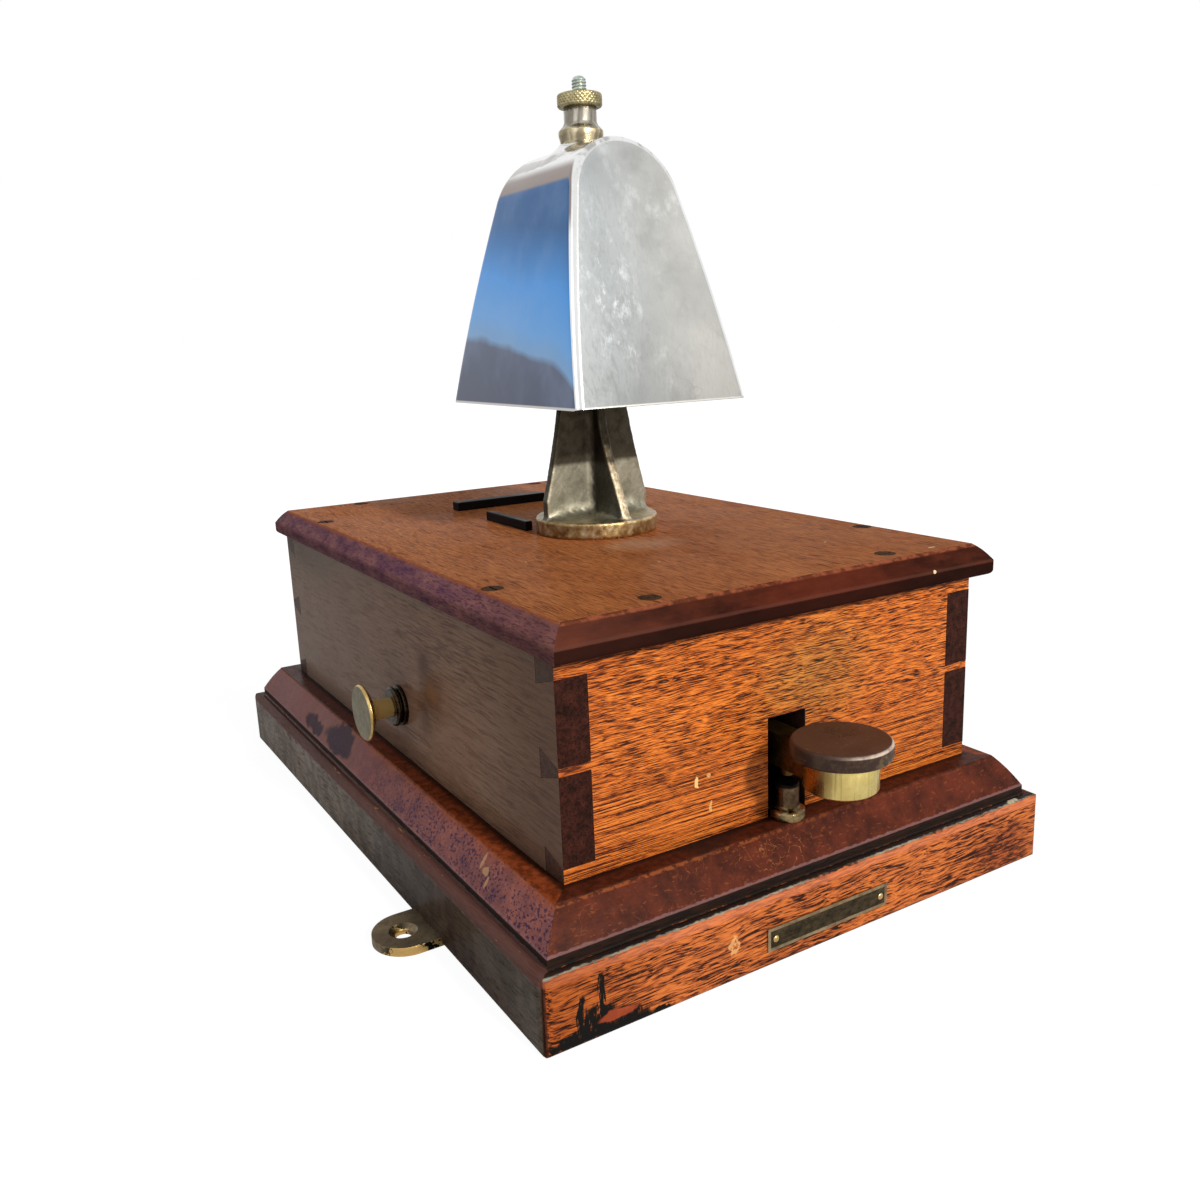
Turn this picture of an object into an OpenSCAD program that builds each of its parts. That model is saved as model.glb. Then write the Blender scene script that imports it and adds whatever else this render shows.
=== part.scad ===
// Railway block bell: a mahogany case on a moulded plinth, a cow-shaped gong on a cast pillar,
// a tapper key at the front, a side plunger and an electromagnet with its hammer inside.
// X runs to the right, Y to the back and Z up. The origin is the middle of the underside.

/* [Case] */
// Width of the case across its side boards
case_w = 195; // [185:1:215]
// Depth of the case from front board to back board
case_d = 305; // [295:1:330]
// Height of the case boards
case_h = 79; // [74:0.5:90]
// Thickness of the case boards
board_t = 12.5; // [10:0.5:14]
// Height of the lower dovetail at the board's face
low_tail_h = 33; // [28:0.5:36]
// Height of the pin between the two dovetails at the face
pin_h = 3; // [2:0.5:5]
// Half pin above the dovetails
top_half_pin = 7; // [4:0.5:9]
// Half pin below the dovetails
low_half_pin = 5.5; // [4:0.5:8]
// Slope of a dovetail's side in degrees
tail_slope = 18; // [10:1:20]

/* [Lid] */
// Lid overhang at each side
lid_side = 4; // [2:0.5:8]
// Lid overhang at the front
lid_front = 8.5; // [4:0.5:12]
// Lid overhang at the back
lid_back = 6; // [3:0.5:12]
// Height of the lid's upright edge
lid_edge_h = 6; // [4:0.5:8]
// Height of the bevel above the upright edge
lid_bevel_h = 6.7; // [5:0.1:8]
// Width of the bevel seen from above
lid_bevel_w = 6.2; // [4:0.1:10]

/* [Plinth] */
// Height of the plinth
plinth_h = 44.5; // [40:0.5:55]
// Extra depth of the plinth beyond the case
plinth_extra_d = 4.5; // [0:0.5:8]
// How far the plinth lies behind the case's middle
plinth_shift = 1.5; // [0:0.25:2]
// Flat strip between the case and the bevel
flat_w = 8; // [6:0.2:12]
// Width of the plinth's bevel seen from above
bevel_w = 9; // [7:0.5:14]
// Fall of the plinth's bevel
bevel_drop = 12.7; // [9:0.1:15]
// Depth of the quirk under the bevel
quirk_drop = 3.3; // [2:0.1:4]
// Width of the small ledge outside the quirk
ledge_w = 5.4; // [4:0.2:8]
// Radius of the round below the ledge
arris_r = 3.2; // [2:0.2:4]
// Thickness of the floor board
floor_t = 14; // [10:0.5:18]
// Width of the rail inside the case boards
rail_ledge = 3.5; // [2:0.5:6]
// Lap of the floor board under the rails
floor_lap = 6; // [4:0.5:8]

/* [Plate and lugs] */
// Length of the small plate on the plinth
plate_l = 58.5; // [50:0.5:70]
// Height of the small plate
plate_h = 9; // [7:0.5:12]
// Thickness of the small plate
plate_t = 0.8; // [0.6:0.1:1.5]
// Height of the plate's middle above the bottom
plate_z = 11.5; // [9:0.5:14]
// Width of a fixing lug
lug_w = 27; // [22:1:34]
// How far a lug stands out of the plinth
lug_out = 22; // [18:1:30]
// Thickness of a lug
lug_t = 3.6; // [2.5:0.1:5]
// Length of a lug under the rail
lug_in = 24; // [18:1:28]
// Radius of a lug's screw hole
lug_hole_r = 3.25; // [2.5:0.05:4]
// Radius of the countersink in a lug
lug_sink_r = 5.6; // [4.5:0.1:6.5]
// How far the lugs lie in front of the middle
lug_y = 80; // [60:1:100]

/* [Gong] */
// Width of the gong's mouth
gong_w = 83.5; // [76:0.5:88]
// Depth of the gong's mouth
gong_d = 119; // [112:1:124]
// Height of the gong from rim to crown
gong_h = 107; // [102:1:116]
// Radius of the arched crown
crown_r = 26.5; // [24:0.5:28]
// Lean of the front and back faces, as run over rise
face_lean = 0.28; // [0.24:0.01:0.3]
// Wall of the gong
gong_wall = 3.5; // [3:0.25:4.5]
// Rounding of the gong's edges
gong_edge_r = 3.6; // [2:0.2:4]
// Height of the rim above the lid
gong_lift = 59; // [52:1:66]
// How far the pillar stands in front of the middle
pillar_y = 20; // [14:1:24]

/* [Pillar] */
// Radius of the pillar's round foot
foot_r = 28; // [26:0.5:28.5]
// Thickness of the pillar's foot
foot_t = 7.6; // [6:0.2:9]
// Thickness of the pillar's webs
web_t = 4.6; // [4:0.2:6]
// Half width of the cross web at the rim's height
web_mid = 17; // [14:0.5:18]
// Radius of the round seat under the gong
seat_r = 9.5; // [8:0.5:11]
// Radius of the stud
stud_r = 3.2; // [2.8:0.1:3.6]

/* [Hammer] */
// How far the hammer lies right of the middle
hammer_x = 12; // [11:0.5:14]
// How far the hammer lies behind the pillar
hammer_back = 32; // [31:0.5:34]
// Height of the armature's pivot above the floor board
pivot_up = 16; // [14:1:20]
// Swing of the hammer in degrees
hammer_swing = 2.6; // [1.5:0.1:2.6]
// Radius of the hammer rod
rod_r = 2; // [1.6:0.1:2.4]
// Radius of the ball on the hammer rod
ball_r = 6; // [4:0.5:6]
// Distance of a magnet core from the hammer's plane
core_x = 19; // [18.5:0.5:23]
// Radius of a magnet core
core_r = 6; // [5:0.5:7]
// Radius of a bobbin's cheeks
cheek_r = 18; // [15:0.5:18]
// Length of a bobbin
bobbin_l = 52; // [40:1:60]

/* [Tapper] */
// Radius of the tapper's cap
cap_r = 18.1; // [15:0.1:20]
// Thickness of the cap
cap_t = 6; // [4:0.5:8]
// Radius of the ferrule under the cap
ferrule_r = 13.4; // [11:0.1:14.5]
// Height of the ferrule
ferrule_h = 12; // [10:0.5:12.5]
// How far the tapper's middle stands in front of the case
tapper_out = 28.8; // [26:0.2:36]
// Width of the tapper's lever
lever_w = 9.5; // [8:0.5:11]
// Height of the lever's bar
lever_h = 13; // [12:0.5:14]
// Height of the lever's underside above the plinth
lever_up = 19.5; // [18:0.5:21]
// Distance from the case's front to the lever's pivot
lever_pivot = 82.5; // [75:0.5:90]
// Length of the lever behind its pivot
lever_tail = 42; // [36:1:44]
// Width of the slot in the front board
slot_w = 18; // [18:0.5:20]
// Height of the slot in the front board
slot_h = 39.5; // [37:0.5:42]
// Travel of the lever at the stop pillar
key_travel = 3; // [2:0.25:3.5]
// Radius of the stop pillar
stop_r = 4.4; // [3.5:0.1:4.5]
// How far the stop pillar stands in front of the case
stop_out = 2.6; // [2:0.2:3]
// How far the stop pillar stands left of the middle
stop_left = 2; // [0:0.2:2.2]

/* [Plunger] */
// Height of the plunger above the plinth
plunger_up = 24; // [20:0.5:28]
// How far the plunger lies in front of the middle
plunger_y = 9; // [5:1:14]
// Radius of the plunger's knob
knob_r = 12.5; // [10:0.5:14]
// Distance from the case to the knob's face
knob_out = 18.5; // [17:0.5:22]
// Radius of the plunger's stem
stem_r = 4.4; // [3.5:0.1:5]
// Radius of the ridged collar
collar_r = 9; // [8:0.25:11]
// Travel of the plunger
plunger_travel = 6; // [4:0.5:6.5]

/* [Hidden] */
$fn = 48;

// Clearances: a sliding or turning fit, a drilled hole round a screw, and a gap at rest
fit = 0.05;
drill = 0.06;
rest_gap = 0.3;
// Amount by which a cutting tool reaches past the face that it cuts
past = 1;

// Heights of the main levels
case_top = plinth_h + case_h;
lid_t = lid_edge_h + lid_bevel_h;
lid_top = case_top + lid_t;
gong_z = lid_top + gong_lift;
crown_z = gong_z + gong_h;

// Faces of the case
front_y = -case_d / 2;
side_x = case_w / 2;
inner_x = side_x - board_t;
inner_y = case_d / 2 - board_t;

// Plinth outline measured outwards from the case's faces
bevel_out = flat_w + bevel_w;
plinth_out = bevel_out + ledge_w;
bevel_z = plinth_h - bevel_drop;
ledge_z = bevel_z - quirk_drop;
plinth_d = case_d + plinth_extra_d;
rail_in = board_t + rail_ledge;
plinth_corner_r = 4.5;
foot_round = 2.5;
plinth_front_y = plinth_shift - plinth_d / 2 - plinth_out;
plinth_side_x = side_x + plinth_out;

// Countersunk wood screws
screw_r = 2;
screw_head_r = 4.2;
screw_slot = 0.9;

// Guide strips on the lid
strip_h = 4.5;
rear_strip_l = 52;
rear_strip_w = 7;
rear_strip_back = 98;
side_strip_w = 3.6;
side_strip_l = 42.5;
side_strip_back = 19;
side_strip_x = 23.5;

// Gong and its clamp
gong_y = -pillar_y;
seat_drop = 8.2;
seat_z = crown_z - seat_drop;
washer_t = 1;
boss_rise = 1;
boss_r = 9.2;
sleeve_r = 7;
sleeve_foot_r = 9.6;
sleeve_h = 14.4;
nut_r = 9.7;
nut_h = 5.6;
stud_tip = 7;
pillar_top = seat_z - washer_t;
pillar_screw_r = 1.75;
pillar_screw_ring = 21;
pillar_screw_reach = 5;

// Hammer and magnet
hammer_y = gong_y + hammer_back;
pivot_z = floor_t + pivot_up;
pin_r = 2;
hub_r = 5;
hub_l = 24;
frame_t = 4;
armature_t = 5;
armature_w = 2 * core_x + 3 * core_r;
armature_low = hub_r + 1;
core_up = armature_low + cheek_r;
armature_top = core_up + cheek_r;
pole_gap = (core_up + core_r) * sin(hammer_swing) + rest_gap + 0.1;
pole_y = hammer_y + armature_t / 2 + pole_gap;
bobbin_y = pole_y + 3.7;
cheek_t = 2;
core_l = bobbin_l + 6;
yoke_y = pole_y + core_l;
yoke_t = 6;
frame_back_y = yoke_y + yoke_t;
ball_z = gong_z + 29;
lid_slot_w = 8;
slot_margin = 1;
// The rod's sweep through the lid, from the pivot's height to the lid's top
rod_sweep = (lid_top - pivot_z) * sin(hammer_swing);
backstop_up = armature_top - 6;
spring_up = armature_low + 4;
spring_l = 15.5;

// Tapper
tapper_y = front_y - tapper_out;
lever_z = plinth_h + lever_up;
lever_top = lever_z + lever_h;
lever_axis_z = lever_z + lever_h / 2;
lever_pivot_y = front_y + lever_pivot;
key_angle = asin(key_travel / (lever_pivot + stop_out));
stop_stud_h = 2.5;
stop_stud_r = 2.4;
stop_y = front_y - stop_out;
stop_top = lever_z - stop_stud_h - key_travel - rest_gap / 3;
tongue_w = 6;
tongue_h = 6;
cap_screw_r = 2;
key_spring_y = lever_pivot_y - 40;
key_spring_l = 20;
rear_contact_y = lever_pivot_y + lever_tail - 5;

// Plunger
plunger_z = plinth_h + plunger_up;
plunger_axis_y = -plunger_y;
collar_l = 5;
bush_r = 6.5;
nut_t = 4;
bush_end = board_t + nut_t + 1.5;
thin_stem_r = 3;
stop_ring_r = 6;
stop_ring_t = 3;
bracket_in = 46.5;
bracket_t = 3;
stem_past = 4.4;
blade_gap = 6;
blade_t = 0.6;

// Terminals
terminal_count = 4;
terminal_pitch = 20;
terminal_y = inner_y - 22;
terminal_block_d = 18;
terminal_block_h = 10;
wire_hole_r = 5;
wire_x = 40;
wire_up = 16;

mahogany = "sienna";
brass = "goldenrod";
iron = "dimgray";
ebonite = "#2a1d18";

// Points of an arc round c from angle a0 to a1
function arc(c, r, a0, a1, n) =
    [for (i = [0:n]) let (a = a0 + (a1 - a0) * i / n) [c[0] + r * cos(a), c[1] + r * sin(a)]];

// Rectangle with round corners, centred
module round_rect(w, d, r) {
    square([w - 2 * r, d], center = true);
    square([w, d - 2 * r], center = true);
    for (x = [-1, 1], y = [-1, 1])
        translate([x * (w / 2 - r), y * (d / 2 - r)]) circle(r);
}

// Countersunk slotted screw with its head flush at z = 0 and its shank below
module sunk_screw(l, r = screw_r, head_r = screw_head_r) {
    difference() {
        rotate_extrude()
            polygon([[0, 0], [head_r, 0], [r, r - head_r], [r, 2 * r - l], [0, -l]]);
        translate([0, 0, -screw_slot / 2])
            cube([2 * head_r + past, screw_slot, screw_slot + 0.01], center = true);
    }
}

// The drilled and countersunk hole for such a screw
module sunk_hole(l, r = screw_r, head_r = screw_head_r) {
    translate([0, 0, -l - drill]) cylinder(h = l + drill + past, r = r + drill);
    rotate_extrude()
        polygon([[0, past], [head_r + drill, past], [head_r + drill, 0],
            [r + drill, r - head_r - drill / 2], [0, r - head_r - drill / 2]]);
}

// Round-headed machine screw, its head standing on z = 0 and its shank below
module round_screw(l, r, head_r, head_h) {
    difference() {
        rotate_extrude()
            polygon(concat([[0, -l], [r, -l], [r, 0], [head_r, 0]],
                [for (a = [15:15:90]) [head_r * cos(a), head_h * sin(a)]]));
        translate([0, 0, head_h])
            cube([2 * head_r + past, screw_slot, head_h], center = true);
    }
}

// Helical spring along Z from 0 to l, its wire as one unbroken tube
module coil_spring(l, r, wire, turns) {
    rings = 8 * turns;
    sides = 6;
    rise = l - 2 * wire;
    points = [
        for (i = [0:rings]) let (a = 360 * i / 8)
            for (j = [0:sides - 1]) let (b = 360 * j / sides)
                [(r + wire * cos(b)) * cos(a), (r + wire * cos(b)) * sin(a),
                    wire + rise * i / rings + wire * sin(b)]
    ];
    skin = [
        for (i = [0:rings - 1]) for (j = [0:sides - 1])
            let (k = (j + 1) % sides, p = i * sides, q = p + sides)
                each [[p + j, q + j, q + k], [p + j, q + k, p + k]]
    ];
    start_cap = [for (j = [1:sides - 2]) [0, j, j + 1]];
    last = rings * sides;
    end_cap = [for (j = [1:sides - 2]) [last, last + j + 1, last + j]];
    polyhedron(points = points, faces = concat(skin, start_cap, end_cap));
}

// Plinth moulding in section: x outwards from the case's face, y up
module plinth_section() {
    polygon(concat(
        [[floor_lap - rail_in, 0], [floor_lap - rail_in, floor_t], [-rail_in, floor_t],
            [-rail_in, plinth_h], [flat_w, plinth_h]],
        [for (t = [0.25:0.25:1])
            [flat_w + bevel_w * t, plinth_h - bevel_drop * t + 0.8 * sin(180 * t)]],
        [[bevel_out, ledge_z], [bevel_out + 0.6, ledge_z - 0.5]],
        arc([plinth_out - arris_r, ledge_z - arris_r], arris_r, 90, 0, 6),
        arc([plinth_out - foot_round, foot_round], foot_round, 0, -90, 4)));
}

// One rail of the plinth along X, mitred at both ends, its outside towards -Y
module plinth_rail(along, across) {
    reach = 2 * plinth_out + rail_in;
    intersection() {
        translate([-along, 0, 0]) rotate([90, 0, 90])
            linear_extrude(height = 2 * along) mirror([1, 0])
                translate([across / 2, 0]) plinth_section();
        linear_extrude(height = plinth_h)
            polygon([[-along / 2 - reach, -across / 2 - reach],
                [along / 2 + reach, -across / 2 - reach],
                [along / 2 - reach, reach - across / 2],
                [reach - along / 2, reach - across / 2]]);
        linear_extrude(height = plinth_h)
            round_rect(along + 2 * plinth_out, across + 2 * plinth_out, plinth_corner_r);
    }
}

module front_rail() {
    color(mahogany) difference() {
        translate([0, plinth_shift, 0]) plinth_rail(case_w, plinth_d);
        stop_pillar_hole();
        plate_pin_holes();
        floor_screw_holes();
    }
}

module back_rail() {
    color(mahogany) difference() {
        translate([0, plinth_shift, 0]) rotate(180) plinth_rail(case_w, plinth_d);
        floor_screw_holes();
    }
}

module side_rail(side) {
    color(mahogany) difference() {
        translate([0, plinth_shift, 0]) rotate(side * 90) plinth_rail(plinth_d, case_w);
        lug_seat(side);
        floor_screw_holes();
    }
}

module left_rail() { side_rail(-1); }

module right_rail() { side_rail(1); }

floor_screw_x = side_x - rail_in + floor_lap / 2;
floor_screw_y = plinth_d / 2 - rail_in + floor_lap / 2;
floor_screw_l = 26;

// Places of the screws that hold the floor board to the rails from below
module floor_screw_places() {
    translate([0, plinth_shift, 0]) {
        for (x = [-1, 1], y = [-1, 1]) {
            translate([x * floor_screw_x, y * plinth_d / 3.4, 0]) rotate([180, 0, 0]) children();
            translate([x * case_w / 4, y * floor_screw_y, 0]) rotate([180, 0, 0]) children();
        }
    }
}

module floor_screw_holes() {
    floor_screw_places() sunk_hole(floor_screw_l, 1.4, 2.8);
}

module floor_board() {
    w = case_w - 2 * rail_in + 2 * floor_lap;
    d = plinth_d - 2 * rail_in + 2 * floor_lap;
    color("peru") difference() {
        translate([-w / 2, plinth_shift - d / 2, 0]) cube([w, d, floor_t]);
        floor_screw_holes();
        frame_screw_places() sunk_floor_hole();
        key_bracket_screw_places() sunk_floor_hole();
    }
}

// Pilot hole in the floor board for a small screw that stands on the board's top
module sunk_floor_hole() {
    translate([0, 0, -8 - drill]) cylinder(h = 8 + drill + past, r = 1.5 + drill);
}

module floor_screws() {
    color(brass) floor_screw_places() sunk_screw(floor_screw_l, 1.4, 2.8);
}

// Heights at the face of each dovetail, above the case's foot
tails = [[low_half_pin, low_half_pin + low_tail_h],
    [low_half_pin + low_tail_h + pin_h, case_h - top_half_pin]];

// The dovetails at the front end of a side board, over its whole thickness
module dovetails() {
    inset = board_t * tan(tail_slope);
    for (t = tails)
        rotate([90, 0, 90]) linear_extrude(height = board_t)
            polygon([[0, t[0]], [0, t[1]], [board_t, t[1] - inset], [board_t, t[0] + inset]]);
}

module end_board() {
    difference() {
        translate([-side_x, front_y, plinth_h]) cube([case_w, board_t, case_h]);
        for (side = [0, 1]) mirror([side, 0, 0])
            translate([inner_x, front_y, plinth_h]) dovetails();
        lid_screw_holes();
    }
}

module case_front() {
    color("chocolate") difference() {
        end_board();
        translate([-slot_w / 2, front_y - past, plinth_h - past])
            cube([slot_w, board_t + 2 * past, slot_h + past]);
    }
}

module case_back() {
    color("chocolate") difference() {
        rotate(180) end_board();
        translate([wire_x, case_d / 2 + past, plinth_h + wire_up]) rotate([90, 0, 0])
            cylinder(h = board_t + 2 * past, r = wire_hole_r + drill);
    }
}

module side_board() {
    difference() {
        union() {
            translate([inner_x, -inner_y, plinth_h]) cube([board_t, 2 * inner_y, case_h]);
            for (end = [0, 1]) mirror([0, end, 0])
                translate([inner_x, front_y, plinth_h]) dovetails();
        }
        lid_screw_holes();
    }
}

module case_left() {
    color("saddlebrown") difference() {
        mirror([1, 0, 0]) side_board();
        translate([-side_x - past, plunger_axis_y, plunger_z]) rotate([0, 90, 0])
            cylinder(h = board_t + 2 * past, r = bush_r + drill);
    }
}

module case_right() {
    color("saddlebrown") side_board();
}

lid_screw_x = case_w * 0.285;
lid_screw_y = case_d * 0.32;
lid_screw_l = 28;

module lid_screw_places() {
    for (x = [-1, 1], y = [-1, 1]) {
        translate([x * lid_screw_x, y * (case_d / 2 - board_t / 2), lid_top]) children();
        translate([x * (side_x - board_t / 2), y * lid_screw_y, lid_top]) rotate(90) children();
    }
}

module lid_screw_holes() {
    lid_screw_places() sunk_hole(lid_screw_l);
}

module lid_screws() {
    color(brass) lid_screw_places() sunk_screw(lid_screw_l);
}

// Section of the lid across one direction, from one edge to the other
module lid_section(low, high) {
    lower_r = 2;
    edge = concat(
        arc([-lower_r, lower_r], lower_r, -90, 0, 4),
        [for (t = [0:0.25:1])
            [-lid_bevel_w * t, lid_edge_h + lid_bevel_h * t + 0.7 * sin(180 * t)]]);
    polygon(concat(
        [for (p = edge) [high + p[0], p[1]]],
        [for (i = [len(edge) - 1:-1:0]) [low - edge[i][0], edge[i][1]]]));
}

module lid() {
    reach = case_d;
    color("sienna") difference() {
        translate([0, 0, case_top]) intersection() {
            translate([0, reach, 0]) rotate([90, 0, 0]) linear_extrude(height = 2 * reach)
                lid_section(-side_x - lid_side, side_x + lid_side);
            translate([-reach, 0, 0]) rotate([90, 0, 90]) linear_extrude(height = 2 * reach)
                lid_section(front_y - lid_front, case_d / 2 + lid_back);
        }
        lid_screw_holes();
        translate([hammer_x - lid_slot_w / 2, hammer_y - rod_r - slot_margin, case_top - past])
            cube([lid_slot_w, rod_sweep + 2 * rod_r + 2 * slot_margin, lid_t + 2 * past]);
        pillar_screw_places() translate([0, 0, -lid_t - past])
            cylinder(h = lid_t + 2 * past, r = pillar_screw_r + drill);
    }
}

plate_pin_x = plate_l / 2 - 3.5;
plate_pin_r = 0.7;
plate_pin_l = 6;

module plate_pin_places() {
    for (x = [-1, 1]) translate([x * plate_pin_x, plinth_front_y - plate_t, plate_z])
        rotate([90, 0, 0]) children();
}

module plate_pin_holes() {
    plate_pin_places() translate([0, 0, -plate_pin_l - plate_t - drill])
        cylinder(h = plate_pin_l + plate_t + past, r = plate_pin_r + drill);
}

module plinth_plate() {
    color(brass) difference() {
        translate([-plate_l / 2, plinth_front_y - plate_t, plate_z - plate_h / 2])
            cube([plate_l, plate_t, plate_h]);
        plate_pin_holes();
    }
}

module plate_pins() {
    color(brass) plate_pin_places() {
        translate([0, 0, -plate_pin_l]) cylinder(h = plate_pin_l, r = plate_pin_r);
        rotate_extrude()
            polygon(concat([[0, 0], [1.4, 0]], [for (a = [30:30:90]) [1.4 * cos(a), 0.7 * sin(a)]]));
    }
}

lug_hole_x = plinth_side_x + lug_out - lug_w / 2 + 1.5;
lug_screw_r = 1.6;
lug_screw_head = 3.1;
lug_screw_l = 18;

// Outline of the right-hand lug, from under the rail to its round end
module lug_outline(gap = 0) {
    end_x = plinth_side_x + lug_out - lug_w / 2;
    translate([plinth_side_x - lug_in - gap, -lug_y - lug_w / 2 - gap])
        square([lug_in + lug_out - lug_w / 2 + gap, lug_w + 2 * gap]);
    translate([end_x, -lug_y]) circle(lug_w / 2 + gap);
}

module lug_screw_places() {
    for (y = [-1, 1]) translate([plinth_side_x - lug_in / 2, y * lug_w / 4 - lug_y, 0])
        rotate([180, 0, 0]) children();
}

// What a lug takes out of its rail, on the right for side = 1
module lug_seat(side) {
    mirror([side < 0 ? 1 : 0, 0, 0]) {
        translate([0, 0, -past]) linear_extrude(height = lug_t + past) lug_outline(drill);
        lug_screw_places() sunk_hole(lug_screw_l, lug_screw_r, lug_screw_head);
    }
}

module lug() {
    difference() {
        linear_extrude(height = lug_t) lug_outline();
        translate([lug_hole_x, -lug_y, -past]) cylinder(h = lug_t + 2 * past, r = lug_hole_r);
        translate([lug_hole_x, -lug_y, lug_t - (lug_sink_r - lug_hole_r) * 0.7])
            cylinder(h = lug_sink_r - lug_hole_r, r1 = lug_hole_r,
                r2 = lug_hole_r + (lug_sink_r - lug_hole_r) / 0.7);
        lug_screw_places() sunk_hole(lug_screw_l, lug_screw_r, lug_screw_head);
    }
}

module right_lug() { color(brass) lug(); }

module left_lug() { color(brass) mirror([1, 0, 0]) lug(); }

module lug_screws() {
    color(brass) for (side = [0, 1]) mirror([side, 0, 0])
        lug_screw_places() sunk_screw(lug_screw_l, lug_screw_r, lug_screw_head);
}

module rear_guide_strip() {
    color("black") translate([-rear_strip_l / 2, gong_y + rear_strip_back, lid_top])
        cube([rear_strip_l, rear_strip_w, strip_h]);
}

module side_guide_strips() {
    color("black") for (side = [0, 1]) mirror([side, 0, 0])
        translate([side_strip_x, gong_y + side_strip_back, lid_top])
            cube([side_strip_w, side_strip_l, strip_h]);
}

// Half of the cross web's outline, from the foot to the seat
module web_outline() {
    low = foot_r - 1.2;
    foot_z = lid_top + foot_t - 0.5;
    rise = gong_z - foot_z;
    neck_z = pillar_top - 10;
    spread = low - web_mid;
    polygon(concat(
        [[0, foot_z], [low - 0.8, foot_z]],
        arc([low - 1.6, foot_z + 2.2], 1.6, -50, 0, 3),
        [[low, foot_z + rise * 0.15], [web_mid + spread * 0.76, foot_z + rise * 0.33],
            [web_mid + spread * 0.5, foot_z + rise * 0.53], [web_mid + spread * 0.24, foot_z + rise * 0.76],
            [web_mid, gong_z], [seat_r - 0.5, neck_z], [0, neck_z]]));
}

// Outline of the steep gusset in front of and behind the cross web
module gusset_outline() {
    foot_z = lid_top + foot_t - 0.5;
    rise = gong_z - foot_z;
    neck_z = pillar_top - 10;
    polygon([[0, foot_z], [foot_r - 1.4, foot_z], [foot_r - 2, foot_z + rise * 0.04],
        [foot_r - 4.6, foot_z + rise * 0.15], [foot_r * 0.535, foot_z + rise * 0.45],
        [foot_r * 0.44, foot_z + rise * 0.56], [foot_r * 0.355, foot_z + rise * 0.68],
        [foot_r * 0.3, foot_z + rise * 0.84], [foot_r * 0.27, gong_z], [4.5, neck_z], [0, neck_z]]);
}

// Section of the hollow fillets between the webs, drawn for one corner
module web_fillet() {
    half = web_t / 2;
    fillet_r = 2.4;
    polygon(concat([[0, 0], [half + fillet_r, 0], [half + fillet_r, half]],
        arc([half + fillet_r, half + fillet_r], fillet_r, 270, 180, 5),
        [[half, half + fillet_r], [0, half + fillet_r]]));
}

module bell_pillar() {
    core_radius = 5;
    foot_rim = 1.2;
    color("darkkhaki") translate([0, gong_y, 0]) difference() {
        union() {
            translate([0, 0, lid_top]) rotate_extrude()
                polygon([[0, 0], [foot_r, 0], [foot_r, foot_t - foot_rim], [foot_r - foot_rim, foot_t],
                    [22, foot_t + 0.2], [17, foot_t + 0.9], [12.5, foot_t + 2.3], [9, foot_t + 4.4],
                    [6.4, foot_t + 7.2], [4.8, foot_t + 10.6], [3.6, foot_t + 16], [0, foot_t + 16]]);
            for (side = [0, 1]) mirror([side, 0, 0]) translate([0, web_t / 2, 0])
                rotate([90, 0, 0]) linear_extrude(height = web_t) web_outline();
            for (turn = [90, 270]) rotate(turn) translate([0, web_t / 2, 0])
                rotate([90, 0, 0]) linear_extrude(height = web_t) gusset_outline();
            translate([0, 0, lid_top + 1]) linear_extrude(height = pillar_top - lid_top - 12)
                for (turn = [0:90:270]) rotate(turn) web_fillet();
            translate([0, 0, pillar_top - 34]) rotate_extrude()
                polygon([[0, 0], [3.4, 0], [core_radius, 8], [core_radius, 22], [seat_r, 27],
                    [seat_r, 34], [0, 34]]);
        }
        translate([0, 0, pillar_top - 24]) cylinder(h = 24 + past, r = stud_r + drill);
        translate([0, -gong_y, 0]) pillar_screw_places() translate([0, 0, -lid_t])
            cylinder(h = lid_t + pillar_screw_reach + drill, r = pillar_screw_r + drill);
    }
}

// Places of the pillar's screws, on the lid's top, which point upwards
module pillar_screw_places() {
    for (a = [45:90:315])
        translate([pillar_screw_ring * cos(a), gong_y + pillar_screw_ring * sin(a), lid_top])
            children();
}

module pillar_screws() {
    color(iron) pillar_screw_places() translate([0, 0, -lid_t]) rotate([180, 0, 0])
        round_screw(lid_t + pillar_screw_reach, pillar_screw_r, 3.4, 2.2);
}

module bell_stud() {
    nut_top = crown_z + boss_rise + sleeve_h + nut_h;
    color("lightslategray") translate([0, gong_y, 0]) {
        translate([0, 0, pillar_top - 23]) cylinder(h = nut_top + stud_tip - 2 - pillar_top + 23, r = stud_r);
        translate([0, 0, nut_top + stud_tip - 2]) rotate_extrude()
            polygon(concat([[0, 0]], [for (a = [0:15:90]) [stud_r * cos(a), 2 * sin(a)]]));
    }
}

module seat_washer() {
    color("maroon") translate([0, gong_y, pillar_top]) difference() {
        cylinder(h = washer_t, r = seat_r - 0.5);
        translate([0, 0, -past]) cylinder(h = washer_t + 2 * past, r = stud_r + drill);
    }
}

// Half width of the gong at height h above its rim, up to where the crown's arc starts
flare_angle = atan((gong_w / 2 - crown_r) / (gong_h - crown_r));
crown_low = gong_h - crown_r + crown_r * sin(flare_angle);
function gong_half(h) =
    let (t = h / crown_low)
        gong_w / 2 + (crown_r * cos(flare_angle) - gong_w / 2) * t + 4.8 * t * (1 - t);

// Arch of the gong seen from the front, drawn inset by an amount
function gong_arch(inset) = concat(
    [for (t = [0:0.25:0.9]) [gong_half(crown_low * t) - inset, crown_low * t]],
    arc([0, gong_h - crown_r], crown_r - inset, flare_angle, 180 - flare_angle, 14),
    [for (t = [0.75:-0.25:0]) [inset - gong_half(crown_low * t), crown_low * t]]);

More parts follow.
